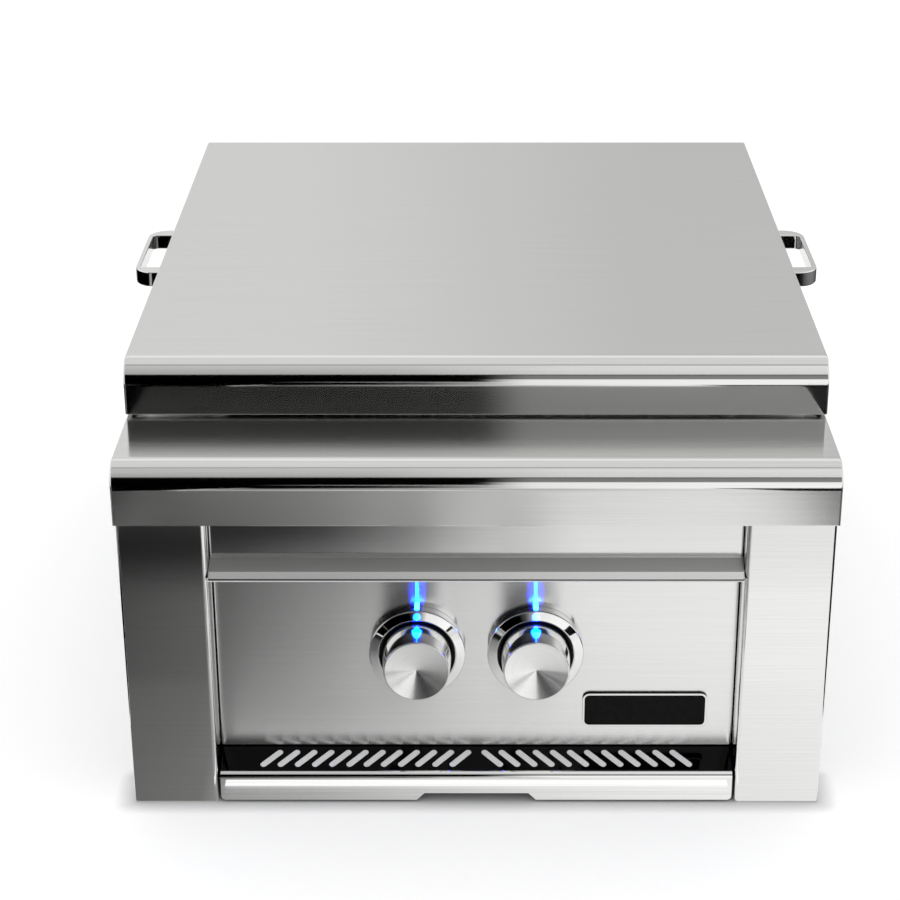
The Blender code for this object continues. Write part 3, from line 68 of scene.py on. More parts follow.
# Covers and control panel
WING_FACE = 3.0
WING_BACK = 35.0
WING_TAB = 26.0
WING_TOP = 236.0
WING_HALF = 252.4
WING_BEND = 1.75
RETURN_BEND = 3.5
BAY_HALF = 190.0
TAB_HALF = 219.3
BROW_HALF = 189.7
BROW_FACE = 20.0
BROW_TOP = 240.0
BROW_FOOT = 194.0
BROW_BACK = 29.7
BROW_END_BEND = 1.2
NOSE_EDGE = (5.0, 190.0)
NOSE_TIP = (2.2, 186.2)
NOSE_UNDER = 185.7
NOSE_TRIM = [(5.1, 190.15), (2.0, 186.05), (2.6, 185.9), (5.6, 189.7)]
# Black bar below the nose: painted shade for the nose's shaded return
SHADE_BAR_FACE = 2.35
SHADE_BAR_LOW = 184.6
SHADE_BAR_HIGH = 185.6
# Pale bead below the black bar: painted highlight for the bright line under the nose
BEAD_Y = 3.4
BEAD_Z = 183.8
BEAD_R = 0.7
PANEL_FACE = 30.0
PANEL_RETURN = 15.0
PANEL_SHEET = 1.5
PANEL_BEND = 1.8
PANEL_LOW = 33.2
PANEL_HIGH = 200.0
STEM_HOLE_R = 10.0

# Tray front
LIP_HALF = 188.4
LIP_Y = 3.0
LIP_LOW = 2.2
LIP_HIGH = 24.07
LIP_BEND = 6.0
LIP_CORNER = 3.5
LIP_BRUSHED_TO = 13.8
LEDGE_Y = 30.9
LEDGE_Z = 32.6
LEDGE_BEND = 1.8
LEDGE_DROP = 23.5
# Depth from which the tray's ledge is painted near black: a painted dark reflection
LEDGE_PAINTED_DARK_FROM = 6.4
LEDGE_SLOPE = 17.0
NOTCH_HALF = 44.0
NOTCH_DEEP = 5.7
SLOT_X = [11.8 + 12.7 * k for k in range(12)]
SLOT_Y = 18.1
SLOT_WIDE = 5.0
SLOT_LONG = 15.8

# Knobs, bezels and lights
KNOB_X = 43.0
KNOB_Z = 114.6
KNOB_FRONT = -4.4
KNOB_FACE_R = 23.7
KNOB_BASE_R = 25.75
KNOB_BACK = 22.0
KNOB_DISH = 2.4
KNOB_INLAY_R = 22.7
RIM_BEND = 0.7
HOLLOW_Y = 1.6
HOLLOW_R = 20.5
HOLLOW_MOUTH = 22.55
HUB_R = 8.0
BORE_R = 4.2
BEZEL_BACK = 29.7
BEZEL_R = 35.0
BEZEL_MOUTH = 28.35
THROAT_R = 27.75
# Black sleeve in each bezel's throat: painted shade for the dark gap round the knob
SHADE_SLEEVE_R = 27.6
SHADE_SLEEVE_WALL = 0.4
SHADE_SLEEVE_FRONT = 21.4
SHADE_SLEEVE_BACK = 27.1
LIGHT_HALF = 1.8
LIGHT_LOW = 27.15
LIGHT_HIGH = 36.2

# Other middles that turned pieces are polished round
BURNER = (0.0, 373.0, 0.0)
INLET = (175.3, 0.0, 88.0)

# Camera fitted to the photograph, in pixels, metres and radians, and the depth of the painted
# shadow at the front's foot
PIXELS = 900
FOCAL = 2234.554
EYE = (-0.00024, -1.73698, 0.91008)
TILT = 0.418449
SHADOW_DEEP = 16.0

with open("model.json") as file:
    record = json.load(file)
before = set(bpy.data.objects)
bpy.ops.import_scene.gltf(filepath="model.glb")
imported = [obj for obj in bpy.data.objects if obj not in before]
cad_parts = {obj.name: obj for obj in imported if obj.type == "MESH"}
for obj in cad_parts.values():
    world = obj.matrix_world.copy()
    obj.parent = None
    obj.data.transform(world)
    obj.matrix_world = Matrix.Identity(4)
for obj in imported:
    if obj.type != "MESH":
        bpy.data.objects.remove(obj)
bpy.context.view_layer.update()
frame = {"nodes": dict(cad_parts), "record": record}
BODY_OF = {node: body for body, nodes in frame["record"]["behaviour"]["bodies"].items()
           for node in nodes}
LEFT_RIGHT = (("left", -1.0), ("right", 1.0))
KNOBS = {side: (s * KNOB_X, 0.0, KNOB_Z) for side, s in LEFT_RIGHT}


# ---- surfaces
def bends(corners, steps=12, ease=0.5):
    """Path through corners (u, v, radius): straight runs joined by arcs.

    An arc's centre lies on its corner's middle line, radius over the sine of half the angle away.
    A point ease beyond each end of an arc keeps the flat beside it flat; a run has to be longer
    than the arcs' reach and their ease.
    """
    corners = [tuple(c) + (0.0,) * (3 - len(c)) for c in corners]
    path = []
    last = len(corners) - 1
    for i, (u, v, radius) in enumerate(corners):
        here = np.array((u, v))
        if radius <= 0.0 or i in (0, last):
            path.append(here[None])
            continue
        back = np.array(corners[i - 1][:2]) - here
        ahead = np.array(corners[i + 1][:2]) - here
        back = back / np.linalg.norm(back)
        ahead = ahead / np.linalg.norm(ahead)
        half = math.acos(np.clip(back @ ahead, -1, 1)) / 2
        middle = (back + ahead) / np.linalg.norm(back + ahead)
        centre = here + middle * radius / math.sin(half)
        reach = radius / math.tan(half)
        first, final = here + back * reach - centre, here + ahead * reach - centre
        sweep = math.pi - 2 * half
        t = np.linspace(0, sweep, steps + 1)[:, None]
        arc = centre + (np.sin(sweep - t) * first + np.sin(t) * final) / math.sin(sweep)
        path += [here[None] + back * (reach + ease), arc, here[None] + ahead * (reach + ease)]
    return np.vstack(path)


def beside(path, distance):
    """Path moved to its left, each point along its mitre until it is distance off both runs."""
    run = np.diff(path, axis=0)
    run /= np.linalg.norm(run, axis=1, keepdims=True)
    left = np.stack([-run[:, 1], run[:, 0]], 1)
    mitre = np.vstack([left[:1], left]) + np.vstack([left, left[-1:]])
    return path + mitre * (2 * distance / (mitre ** 2).sum(1, keepdims=True))


def bent_sheet(corners, thickness):
    """Closed outline of a folded sheet: the seen path out, and the path beside it back."""
    path = bends(corners)
    return np.vstack([path, beside(path, thickness)[::-1]])


def carried(outline, axis, stations):
    """Outline (u, v) carried along an axis: one loop of points for each station."""
    outline = np.asarray(outline, float)
    u, v = (np.repeat(outline[None, :, k], len(stations), 0) for k in (0, 1))
    along = np.repeat(np.asarray(stations, float)[:, None], len(outline), 1)
    return np.stack({"X": (along, u, v), "Y": (u, along, v), "Z": (u, v, along)}[axis], 2)


def round_plan(x0, x1, y0, y1, radius, steps=6):
    """Rectangle with quarter-circle corners, anticlockwise from its front right corner."""
    turn = np.linspace(0, math.pi / 2, steps + 1)
    start = np.array([-0.5, 0.0, 0.5, 1.0])[:, None] * math.pi
    cx = np.array([x1 - radius, x1 - radius, x0 + radius, x0 + radius])[:, None]
    cy = np.array([y0 + radius, y1 - radius, y1 - radius, y0 + radius])[:, None]
    x, y = cx + radius * np.cos(start + turn), cy + radius * np.sin(start + turn)
    return np.stack([x.ravel(), y.ravel()], 1)


def level(plan, z):
    """Plan outline lifted to the height z."""
    return np.column_stack([plan, np.full(len(plan), z)])


def ring(half, front, back, z, side, near, far):
    """Loop round a cover at the height z, drawn in at its sides, its front and its back."""
    plan = round_plan(-half + side, half - side, front + near, back - far, PLAN_CORNER)
    return level(plan, z)


def hood(half, front, back, under, top, front_bend, back_bend):
    """Loops round a shallow cover, from its lower edge up to its flat top.

    At height z a side whose bend has radius r is drawn in by r - sqrt(r^2 - (z - top + r)^2),
    where z is above the start of that bend. Each loop is a rectangle with round corners, and a
    loop close beside each free edge or bend keeps the flat next to it flat.
    """
    radii = (EDGE_BEND, front_bend, back_bend)
    arcs = [top - r + r * np.sin(np.linspace(0, math.pi / 2, steps))
            for r, steps in zip(radii, (6, 25, 13))]
    heights = np.concatenate([[under, under + 0.5, top - front_bend - 0.6], *arcs])
    loops = []
    for z in np.unique(np.round(heights, 3)):
        draws = (r - math.sqrt(r * r - min(max(0.0, z - top + r), r) ** 2) for r in radii)
        loops.append(ring(half, front, back, z, *draws))
    return loops + [ring(half, front, back, top, *(r + 0.6 for r in radii))]


def spun(profile, centre, steps=144):
    """Profile (radius, y) turned once about a line along y: radius times its cosine and sine."""
    profile = np.asarray(profile, float)
    turn = np.linspace(0, 2 * math.pi, steps, endpoint=False)
    radius, along = profile[:, :1], np.repeat(profile[:, 1:], steps, 1)
    return np.stack((radius * np.cos(turn), along, radius * np.sin(turn)), 2) + centre


def quads(rows, cols, wrap_rows):
    """Corner numbers of every face of a grid whose rows are loops, its last row joined if asked."""
    i = np.arange(rows if wrap_rows else rows - 1)[:, None]
    j = np.arange(cols)[None]
    i2, j2 = (i + 1) % rows, (j + 1) % cols
    corners = np.broadcast_arrays(i * cols + j, i * cols + j2, i2 * cols + j2, i2 * cols + j)
    return np.stack([c.ravel() for c in corners], 1).tolist()


# ---- pieces
def placed(name, data):
    """Add an object that holds this data to the scene."""
    thing = bpy.data.objects.new(name, data)
    bpy.context.scene.collection.objects.link(thing)
    return thing


def read(items, key, width, kind=np.float32):
    """One property of all of a mesh's vertices or corners, in rows of width numbers."""
    values = np.empty(len(items) * width, kind)
    items.foreach_get(key, values)
    return values.reshape(-1, width)


def lay_grain(mesh, along, centre=None):
    """Store which way the polishing marks run, as a point attribute on the mesh.

    Along X on a sheet the marks are u x n, for the normal n and u = (0, 0.3, 1): across the width
    on tops, fronts and backs, and from front to back on sides. Along Y or Z they follow that axis.
    Round an axis a they run along a x (p - c), for a point p and the centre c.
    """
    points = read(mesh.vertices, "co", 3)
    axis = np.array({"X": (1, 0, 0), "Y": (0, 1, 0), "Z": (0, 0, 1)}[along], np.float32)
    marks = np.repeat(axis[None], len(points), 0)
    lathe = points
    if along == "X":
        normals = read(mesh.vertices, "normal", 3)
        marks = np.cross(np.array((0.0, 0.3, 1.0), np.float32), normals)
    if centre is not None:
        arm = points - (np.array(centre) + (0.0, FASCIA_Y, 0.0)) * MM
        marks = np.cross(axis, arm)
        height = arm @ axis
        spoke = arm - height[:, None] * axis
        radius = np.linalg.norm(spoke, axis=1)
        swing = spoke / np.maximum(radius, 1e-6)[:, None]
        lathe = swing * 0.02 + axis * (radius + height)[:, None]
    for name, values in (("marks", marks), ("lathe", lathe)):
        layer = mesh.attributes.new(name, "FLOAT_VECTOR", "POINT")
        layer.data.foreach_set("vector", np.ascontiguousarray(values, np.float32).ravel())


def finished(name, mesh, finish, body, stands_for=(), along="X", centre=None, edge=0.0):
    """Make a piece from a mesh: smooth but for edges past 35 degrees, which are eased by edge."""
    mesh.shade_smooth()
    mesh.set_sharp_from_angle(angle=math.radians(35))
    lay_grain(mesh, along, centre)
    mesh.materials.clear()
    mesh.materials.append(finish)
    thing = placed(name, mesh)
    if edge:
        ease = thing.modifiers.new("eased_edges", "BEVEL")
        ease.width = edge * MM
        ease.segments = 3
        ease.limit_method = "ANGLE"
        ease.angle_limit = math.radians(35)
        ease.harden_normals = True
        ease.use_clamp_overlap = True
    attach(thing, body)
    if stands_for:
        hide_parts(*stands_for)
    return thing


def surface(name, grid, wrap_rows=False, caps=(), closed=False):
    """Mesh of loops of millimetre points, with flat caps on the rows that are named."""
    grid = np.asarray(grid, float)
    rows, cols = grid.shape[:2]
    points = (grid.reshape(-1, 3) + (0.0, FASCIA_Y, 0.0)) * MM
    faces = quads(rows, cols, wrap_rows)
    for row in caps:
        ring = list(range((row % rows) * cols, (row % rows) * cols + cols))
        faces.append(ring if row else ring[::-1])
    mesh = bpy.data.meshes.new(name)
    mesh.from_pydata(points.tolist(), [], faces)
    return tidied(mesh, 1e-6, closed=closed or wrap_rows or len(caps) == 2)


def bar(name, outline, axis, stations):
    """Closed form: an outline carried along an axis and capped at both ends."""
    return surface(name, carried(outline, axis, stations), caps=(0, -1))


def walled(thing):
    """Give a one-sided skin the thickness of its sheet, inwards."""
    wall = thing.modifiers.new("sheet", "SOLIDIFY")
    wall.thickness = SHEET * MM
    wall.offset = -1.0


def tidied(mesh, doubles, closed, flat=False):
    """Merge points that meet, drop what has no area, and on a closed form face all outwards."""
    form = bmesh.new()
    form.from_mesh(mesh)
    bmesh.ops.remove_doubles(form, verts=form.verts, dist=doubles)
    bmesh.ops.dissolve_degenerate(form, dist=1e-7, edges=form.edges)
    if flat:
        bmesh.ops.dissolve_limit(form, angle_limit=math.radians(0.3), verts=form.verts,
                                 edges=form.edges)
    if closed:
        bmesh.ops.recalc_face_normals(form, faces=form.faces)
    form.to_mesh(mesh)
    form.free()
    return mesh


def from_solid(node, finish, along="X", centre=None, edge=0.3):
    """A merged, smoothed copy of a solid, with its edges eased, in that solid's place."""
    source = frame["nodes"][node].data
    mesh = bpy.data.meshes.new(node + "_made")
    points = read(source.vertices, "co", 3)
    corners = read(source.loops, "vertex_index", 1, np.int32).reshape(-1, 3)
    mesh.from_pydata(points.tolist(), [], corners.tolist())
    mesh = tidied(mesh, 2e-6, closed=True, flat=True)
    return finished(node + "_made", mesh, finish, BODY_OF[node], (node,), along, centre, edge)


def cut_away(mesh, tools):
    """The mesh less every closed form in tools."""
    things = [placed("cut", form) for form in (mesh, *tools)]
    for tool in things[1:]:
        cut = things[0].modifiers.new("cut", "BOOLEAN")
        cut.object = tool
        cut.solver = "EXACT"
    graph = bpy.context.evaluated_depsgraph_get()
    left = bpy.data.meshes.new_from_object(things[0].evaluated_get(graph))
    for thing in things:
        bpy.data.objects.remove(thing)
    return left


# ---- finishes
def linear(code):
    """sRGB hex to linear light: a channel c above 0.04045 is ((c + 0.055) / 1.055) to the 2.4."""
    c = np.array([int(code[i:i + 2], 16) for i in (0, 2, 4)]) / 255
    light = np.where(c <= 0.04045, c / 12.92, ((c + 0.055) / 1.055) ** 2.4)
    return (*light.tolist(), 1.0)


def feed(tree, node, sockets):
    """Set a node's sockets, each by value or by link; a node stands for its first output."""
    for key, value in sockets.items():
        if isinstance(value, bpy.types.Node):
            value = value.outputs[0]
        if isinstance(value, bpy.types.NodeSocket):
            tree.links.new(value, node.inputs[key])
        else:
            node.inputs[key].default_value = value


def add(tree, kind, sockets=None, stops=None, **settings):
    """Add a node: its settings, its sockets by value or by link, and its stops if it is a ramp."""
    node = tree.nodes.new("ShaderNode" + kind)
    for key, value in settings.items():
        setattr(node, key, value)
    if stops:
        ramp = node.color_ramp
        for place, colour in stops[1:-1]:
            ramp.elements.new(place).color = colour
        ordered = sorted(ramp.elements, key=lambda e: e.position)
        for element, (place, colour) in zip(ordered, stops):
            element.position = place
            element.color = colour
    feed(tree, node, sockets or {})
    return node


def grey(value):
    """A plain linear grey for a ramp's stop."""
    return (value, value, value, 1.0)


def start(name, colour, metallic, roughness, **sockets):
    """Begin a material: its tree, and its shader with every constant on the shader's sockets."""
    material = bpy.data.materials.new(name)
    material.use_nodes = True
    tree = material.node_tree
    shader = tree.nodes["Principled BSDF"]
    feed(tree, shader, {"Base Color": colour, "Metallic": metallic, "Roughness": roughness,
                        **sockets})
    return material, tree, shader


def lit_along_marks(tree, shader):
    """Spread the gloss across the polishing marks: the tangent is the normal crossed with them."""
    marks = add(tree, "Attribute", attribute_name="marks")
    turned = add(tree, "VectorTransform", {"Vector": marks.outputs["Vector"]},
                 vector_type="VECTOR", convert_from="OBJECT", convert_to="WORLD")
    normal = add(tree, "NewGeometry")
    across = add(tree, "VectorMath", {0: normal.outputs["Normal"], 1: turned},
                 operation="CROSS_PRODUCT")
    even = add(tree, "VectorMath", {0: across}, operation="NORMALIZE")
    feed(tree, shader, {"Tangent": even})
    return even


def fine_lines(tree, place, scale):
    """Noise drawn out along the marks, with scale in lines per metre on each axis."""
    fine = add(tree, "Mapping", {"Vector": place, "Scale": scale})
    return add(tree, "TexNoise", {"Vector": fine, "Scale": 1.0, "Detail": 3.0})


def by_facing(tree, place, upward, bend, forward):
    """Roughness by the way a sheet faces: flats facing up, bends or slopes, flats facing forward.

    A bend or a slope is where |y * z| of the object's normal is more than nothing.
    """
    parts = add(tree, "SeparateXYZ", {"Vector": place.outputs["Normal"]})
    both = add(tree, "Math", {0: parts.outputs["Y"], 1: parts.outputs["Z"]}, operation="MULTIPLY")
    size = add(tree, "Math", {0: both}, operation="ABSOLUTE")
    curved = add(tree, "MapRange", {"Value": size, "From Min": 0.004, "From Max": 0.03})
    flat = add(tree, "MapRange", {"Value": parts.outputs["Z"], "From Min": 0.6, "From Max": 0.8,
                                  "To Min": forward, "To Max": upward})
    return add(tree, "Mix", {0: curved, 2: flat,
                             3: bend})


def worked(name, shades, metallic, roughness, spread, scale, bump, source="Object",
           rough_swing=0.05, cloud=0.4, facing=None, lean=0.0):
    """A metal with fine lines left by its polishing.

    Two noises drawn out along the marks shift the shade, the roughness and a very low relief.
    scale gives lines per metre along and across the marks, in the order of the axes. facing gives
    the three roughnesses of by_facing. lean tilts the normal across the marks, as the slant of a
    lathe tool's feed marks does.
    """
    dark, even, light = (linear(code) for code in (shades[1], shades[0], shades[2]))
    material, tree, shader = start(name, even, metallic, roughness, Anisotropic=spread)
    place = add(tree, "TexCoord")
    if source == "Object":
        where = place.outputs["Object"]
    else:
        where = add(tree, "Attribute", attribute_name=source).outputs["Vector"]
    fine = add(tree, "Mapping", {"Vector": where, "Scale": scale})
    lines = add(tree, "TexNoise", {"Vector": fine, "Scale": 1.0, "Detail": 3.0,
                                   "Roughness": 0.65})
    broad = add(tree, "Mapping", {"Vector": where, "Scale": tuple(s * 0.16 for s in scale)})
    bands = add(tree, "TexNoise", {"Vector": broad, "Scale": 1.0, "Detail": 2.0})
    both = add(tree, "Mix", {0: cloud, 2: lines, 3: bands})
    shade = add(tree, "ValToRGB", {"Fac": both},
                stops=[(0.32, dark), (0.5, even), (0.68, light)])
    low, high = roughness - rough_swing, roughness + rough_swing
    rough = add(tree, "MapRange", {"Value": both, "From Min": 0.3, "From Max": 0.7,
                                   "To Min": low, "To Max": high})
    if facing:
        share = by_facing(tree, place, *(value / roughness for value in facing))
        rough = add(tree, "Math", {0: rough, 1: share}, operation="MULTIPLY")
    feed(tree, shader, {"Base Color": shade, "Roughness": rough})
    if bump:
        relief = add(tree, "Bump", {"Height": lines, "Strength": bump,
                                    "Distance": 0.0002})
        feed(tree, shader, {"Normal": relief})
    if spread:
        across = lit_along_marks(tree, shader)
    if lean:
        tilt = add(tree, "VectorMath", {0: across, 1: (-lean, -lean, -lean)}, operation="MULTIPLY")
        leaning = add(tree, "VectorMath", {0: add(tree, "NewGeometry").outputs["Normal"],
                                           1: tilt}, operation="ADD")
        unit = add(tree, "VectorMath", {0: leaning}, operation="NORMALIZE")
        feed(tree, shader, {"Normal": unit})
    return material


# Belt-brushed 304 sheet, grain across the width. Real grit lines are 0.05 mm; these are about 1 mm
# so that they show. The gloss runs up and down the sheet and stays sharp along it.
BRUSHED = worked("long_grain_stainless_sheet", ("E5E5E4", "E3E3E2", "E8E8E7"), 1.0, 0.17, 0.90,
                 (9.0, 900.0, 900.0), 0.006, rough_swing=0.01, cloud=0.2)
# The brow strip, brushed with a finer belt, and its sloping ledge left duller.
BROW = worked("fine_brushed_brow_strip", ("E5E5E4", "E3E3E2", "E8E8E7"), 1.0, 0.11, 0.88,
              (9.0, 1100.0, 1100.0), 0.004, rough_swing=0.008, cloud=0.2,
              facing=(0.08, 0.50, 0.08))
# The counter frame, belt-brushed too, with its bend polished so that it keeps crisp bands.
SATIN = worked("satin_stainless_frame", ("E4E4E2", "E0E0DE", "E8E8E6"), 1.0, 0.30, 0.85,
               (7.0, 1000.0, 1000.0), 0.01, rough_swing=0.015, cloud=0.15,
               facing=(0.15, 0.07, 0.22))
# The lid, finished finest of all.
LID_SATIN = worked("fine_satin_stainless_lid", ("E4E4E2", "E1E1DF", "E7E7E5"), 1.0, 0.24, 0.80,
                   (7.0, 1100.0, 1100.0), 0.01, rough_swing=0.01, cloud=0.15,
                   facing=(0.24, 0.07, 0.10))
# Knob face, turned on a lathe: rings whose slant throws the gloss in radial fans.
TURNED = worked("lathe_turned_stainless", ("EDEDEC", "E9E9E8", "F2F2F1"), 1.0, 0.20, 0.90,
                (60.0, 2600.0, 60.0), 0.0, source="lathe", rough_swing=0.01, lean=0.22)
# Knob side, turned and then polished.
POLISHED = worked("polished_turned_stainless", ("E6E6E4", "E0E0DE", "ECECEA"), 1.0, 0.07, 0.5,
                  (60.0, 1400.0, 60.0), 0.0, source="lathe", rough_swing=0.02)
# Buffed 304: bezels, handles and the tray front's closed ends. Nearly a mirror, with faint buffing.
BUFFED = worked("buffed_stainless", ("E9E9E8", "E3E3E2", "EFEFEE"), 1.0, 0.035, 0.0,
                (90.0, 90.0, 90.0), 0.0, rough_swing=0.01)
# Pale matt finish of the strip under the tray's slots and of the bead under the brow. It is pale
# from every side: painted light for the brightness seen through the slots and the bright line below
# the nose.
PALE_PAINTED_LIGHT = worked("pale_matt_painted_light_strip", ("F0F0EF", "E8E8E7", "F6F6F6"), 0.0, 0.62, 0.0,
                 (900.0, 900.0, 900.0), 0.15)
# Mill-finish galvanised sheet of the casing: dull, with a soft mottle.
MILL = worked("galvanised_sheet", ("B9BCBE", "A9ACAE", "C6C9CB"), 1.0, 0.42, 0.3,
              (60.0, 60.0, 60.0), 0.05)
# Electropolished rod and bar of the grates.
GRATE = worked("electropolished_bar", ("C9C9C7", "BCBCBA", "D6D6D4"), 1.0, 0.26, 0.0,
               (120.0, 120.0, 120.0), 0.10)
# Machined brass of caps, jets and stems, with a trace of tarnish.
BRASS = worked("machined_brass", ("D8B06A", "C49A55", "E4C07E"), 1.0, 0.30, 0.5,
               (60.0, 900.0, 60.0), 0.06, source="lathe")
# Sand-cast iron of the burner bowls and mixer tubes, high-temperature painted.
CAST = worked("painted_cast_iron", ("4A4A4B", "3E3E3F", "575758"), 0.0, 0.62, 0.0,
              (420.0, 420.0, 420.0), 0.5, rough_swing=0.1)
# Die-cast aluminium valve bodies.
DIECAST = worked("diecast_aluminium", ("B4B4B5", "A6A6A7", "C2C2C3"), 1.0, 0.45, 0.0,
                 (260.0, 260.0, 260.0), 0.25)
# Moulded black ABS, glazed ceramic body and soft silicone.
ABS = worked("moulded_black_abs", ("141415", "101011", "1A1A1B"), 0.0, 0.45, 0.0,
             (500.0, 500.0, 500.0), 0.15)
CERAMIC = worked("unglazed_ceramic", ("EDE9DF", "E2DDD1", "F4F1E9"), 0.0, 0.6, 0.0,
                 (300.0, 300.0, 300.0), 0.1)
SILICONE = worked("soft_silicone", ("1B1B1C", "161617", "232324"), 0.0, 0.75, 0.0,
                  (400.0, 400.0, 400.0), 0.1)


def lens_finish():
    """Clear blue lens lit from behind: its glow clips to pale cyan."""
    material, tree, shader = start("lit_blue_lens", linear("1470F0"), 0.0, 0.2,
                                   **{"Emission Color": (0.012, 0.30, 1.0, 1.0),
                                      "Emission Strength": 30.0})
    where = add(tree, "TexCoord")
    grain = add(tree, "TexNoise", {"Vector": where.outputs["Object"], "Scale": 400.0})
    rough = add(tree, "MapRange", {"Value": grain, "To Min": 0.12, "To Max": 0.3})
    feed(tree, shader, {"Roughness": rough})
    return material


def plate_finish():
    """Vitreous enamel in a bright rim: steel shows where the rim stands proud of the field."""
    material, tree, shader = start("gloss_enamel_in_bright_rim", linear("0B0B0C"), 0.0, 0.12,
                                   **{"Specular IOR Level": 0.08})
    where = add(tree, "TexCoord")
    parts = add(tree, "SeparateXYZ", {"Vector": where.outputs["Object"]})
    rim = add(tree, "Math", {0: parts.outputs["Y"], 1: (FASCIA_Y + 27.95) * MM},
              operation="LESS_THAN")
    cloud = add(tree, "TexNoise", {"Vector": where.outputs["Object"], "Scale": 220.0,
                                   "Detail": 3.0})
    field = add(tree, "ValToRGB", {"Fac": cloud},
                stops=[(0.3, linear("070708")), (0.7, linear("101011"))])
    shade = add(tree, "Mix", {0: rim, 6: field, 7: linear("E6E6E4")},
                data_type="RGBA")
    feed(tree, shader, {"Base Color": shade.outputs[2], "Metallic": rim})
    return material


def wing_finish():
    """Wing covers: brushed on the face, and polished round the bends and down the returns."""
    material, tree, shader = start("brushed_cover_with_polished_return", linear("E6E6E4"), 1.0,
                                   0.08, Anisotropic=0.85)
    place = add(tree, "TexCoord")
    facing = add(tree, "SeparateXYZ", {"Vector": place.outputs["Normal"]})
    lines = fine_lines(tree, place.outputs["Object"], (9.0, 900.0, 900.0))
    steel = add(tree, "ValToRGB", {"Fac": lines},
                stops=[(0.35, linear("E4E4E2")), (0.65, linear("E8E8E7"))])
    forward = add(tree, "Math", {0: facing.outputs["Y"], 1: -1.0}, operation="MULTIPLY")
    rough = add(tree, "MapRange", {"Value": forward, "From Min": 0.97, "From Max": 0.995,
                                   "To Min": 0.05, "To Max": 0.08})
    feed(tree, shader, {"Base Color": steel, "Roughness": rough})
    lit_along_marks(tree, shader)
    return material


def tray_finish():
    """Tray front: ledge painted near black as a painted dark reflection, polished bend, and a lip
    brushed below its polished edge.
    """
    material, tree, shader = start("painted_dark_reflection_ledge_and_brushed_lip", linear("E6E6E4"), 1.0, 0.25)
    where = add(tree, "TexCoord")
    parts = add(tree, "SeparateXYZ", {"Vector": where.outputs["Object"]})
    lines = fine_lines(tree, where.outputs["Object"], (7.0, 700.0, 700.0))
    lip = add(tree, "ValToRGB", {"Fac": lines},
              stops=[(0.35, linear("E8E8E7")), (0.65, linear("F0F0EF"))])
    # Back from here the ledge is coloured near black. This is a painted dark reflection of the
    # shade it mirrors, not the steel's own colour.
    dark = FASCIA_Y + LEDGE_PAINTED_DARK_FROM
    ledge = add(tree, "MapRange", {"Value": parts.outputs["Y"], "From Min": dark * MM,
                                   "From Max": (dark + 0.5) * MM})
    shade = add(tree, "Mix", {0: ledge, 6: lip,
                              7: linear("1A1A1B")}, data_type="RGBA")
    rough = add(tree, "MapRange", {"Value": parts.outputs["Z"], "From Min": LIP_BRUSHED_TO * MM,
                                   "From Max": (LIP_BRUSHED_TO + 0.4) * MM, "To Min": 0.24,
                                   "To Max": 0.05})
    feed(tree, shader, {"Base Color": shade.outputs[2], "Roughness": rough})
    return material


LENS = lens_finish()
PLATE = plate_finish()
TRAY = tray_finish()
WING = wing_finish()


# ---- lid and counter frame
def lid_shell():
    """Lid pressed from one sheet: bends drawn in by level, flat top, and a hem turned in below."""
    loops = hood(LID_HALF, LID_FRONT, LID_BACK, LID_UNDER + HEM_BEND, LID_TOP, LID_BEND,
                 LID_BACK_BEND)
    plan = (LID_HALF, LID_FRONT, LID_BACK)
    hem = [ring(*plan, LID_UNDER, LID_HEM, LID_HEM, LID_HEM)]
    for a in np.linspace(0, math.pi / 2, 5)[:-1]:
        draw = HEM_BEND * (1 - math.sin(a))
        rise = HEM_BEND * (1 - math.cos(a))
        hem.append(ring(*plan, LID_UNDER + rise, draw, draw, draw))
    mesh = surface("lid_skin", np.stack(hem + loops), caps=(-1,))
    walled(finished("lid_skin", mesh, LID_SATIN, "lid", ("lid_shell",)))


def counter_frame():
    """Counter frame: a bullnosed cover like the lid's, with a round-cornered hole in its deck."""
    loops = hood(FRAME_HALF, 0.0, FRAME_BACK, FRAME_UNDER, FRAME_TOP, FRAME_BEND, FRAME_BACK_BEND)
    x0, x1, y0, y1 = DECK_HOLE
    hole = [level(round_plan(x0 - grow, x1 + grow, y0 - grow, y1 + grow, DECK_CORNER + grow),
                  FRAME_TOP) for grow in (0.5, 0.0)]
    mesh = surface("counter_frame_skin", np.stack(loops + hole))
    walled(finished("counter_frame_skin", mesh, SATIN, "root",
                    ("top_frame",)))
    seat, back, bay = FRAME_HALF - FLANGE_IN, FRAME_BACK - FLANGE_IN, WING_BACK + 2 * SHEET
    side, rear = FRAME_HALF - SHEET, FRAME_BACK - SHEET
    flange = [(side, bay), (side, rear), (-side, rear), (-side, bay), (-seat, bay), (-seat, back),
              (seat, back), (seat, bay)]
    mesh = bar("counter_flange", flange, "Z", (FRAME_UNDER, FRAME_UNDER + SHEET))
    finished("counter_flange", mesh, SATIN, "root", edge=0.2)


def lid_handles():
    """Bent flat bars each side of the lid: outer and inner outlines meet at the two feet."""
    near, far = HANDLE_Y - HANDLE_LONG / 2, HANDLE_Y + HANDLE_LONG / 2
    grip = HANDLE_TIP - HANDLE_THICK
    outline = bends([(HANDLE_ROOT, near), (HANDLE_TIP, near, HANDLE_BEND),
                     (HANDLE_TIP, far, HANDLE_BEND), (HANDLE_ROOT, far),
                     (HANDLE_ROOT, far - HANDLE_LEG), (grip, far - HANDLE_LEG, GRIP_BEND),
                     (grip, near + HANDLE_LEG, GRIP_BEND), (HANDLE_ROOT, near + HANDLE_LEG)], 14)
    for side, s in LEFT_RIGHT:
        mesh = bar(f"{side}_handle_bar", outline * (s, 1.0), "Z", (HANDLE_LOW, HANDLE_HIGH))
        finished(f"{side}_handle_bar", mesh, BUFFED, "lid",
                 (f"{side}_lid_handle",), along="Y", edge=1.0)


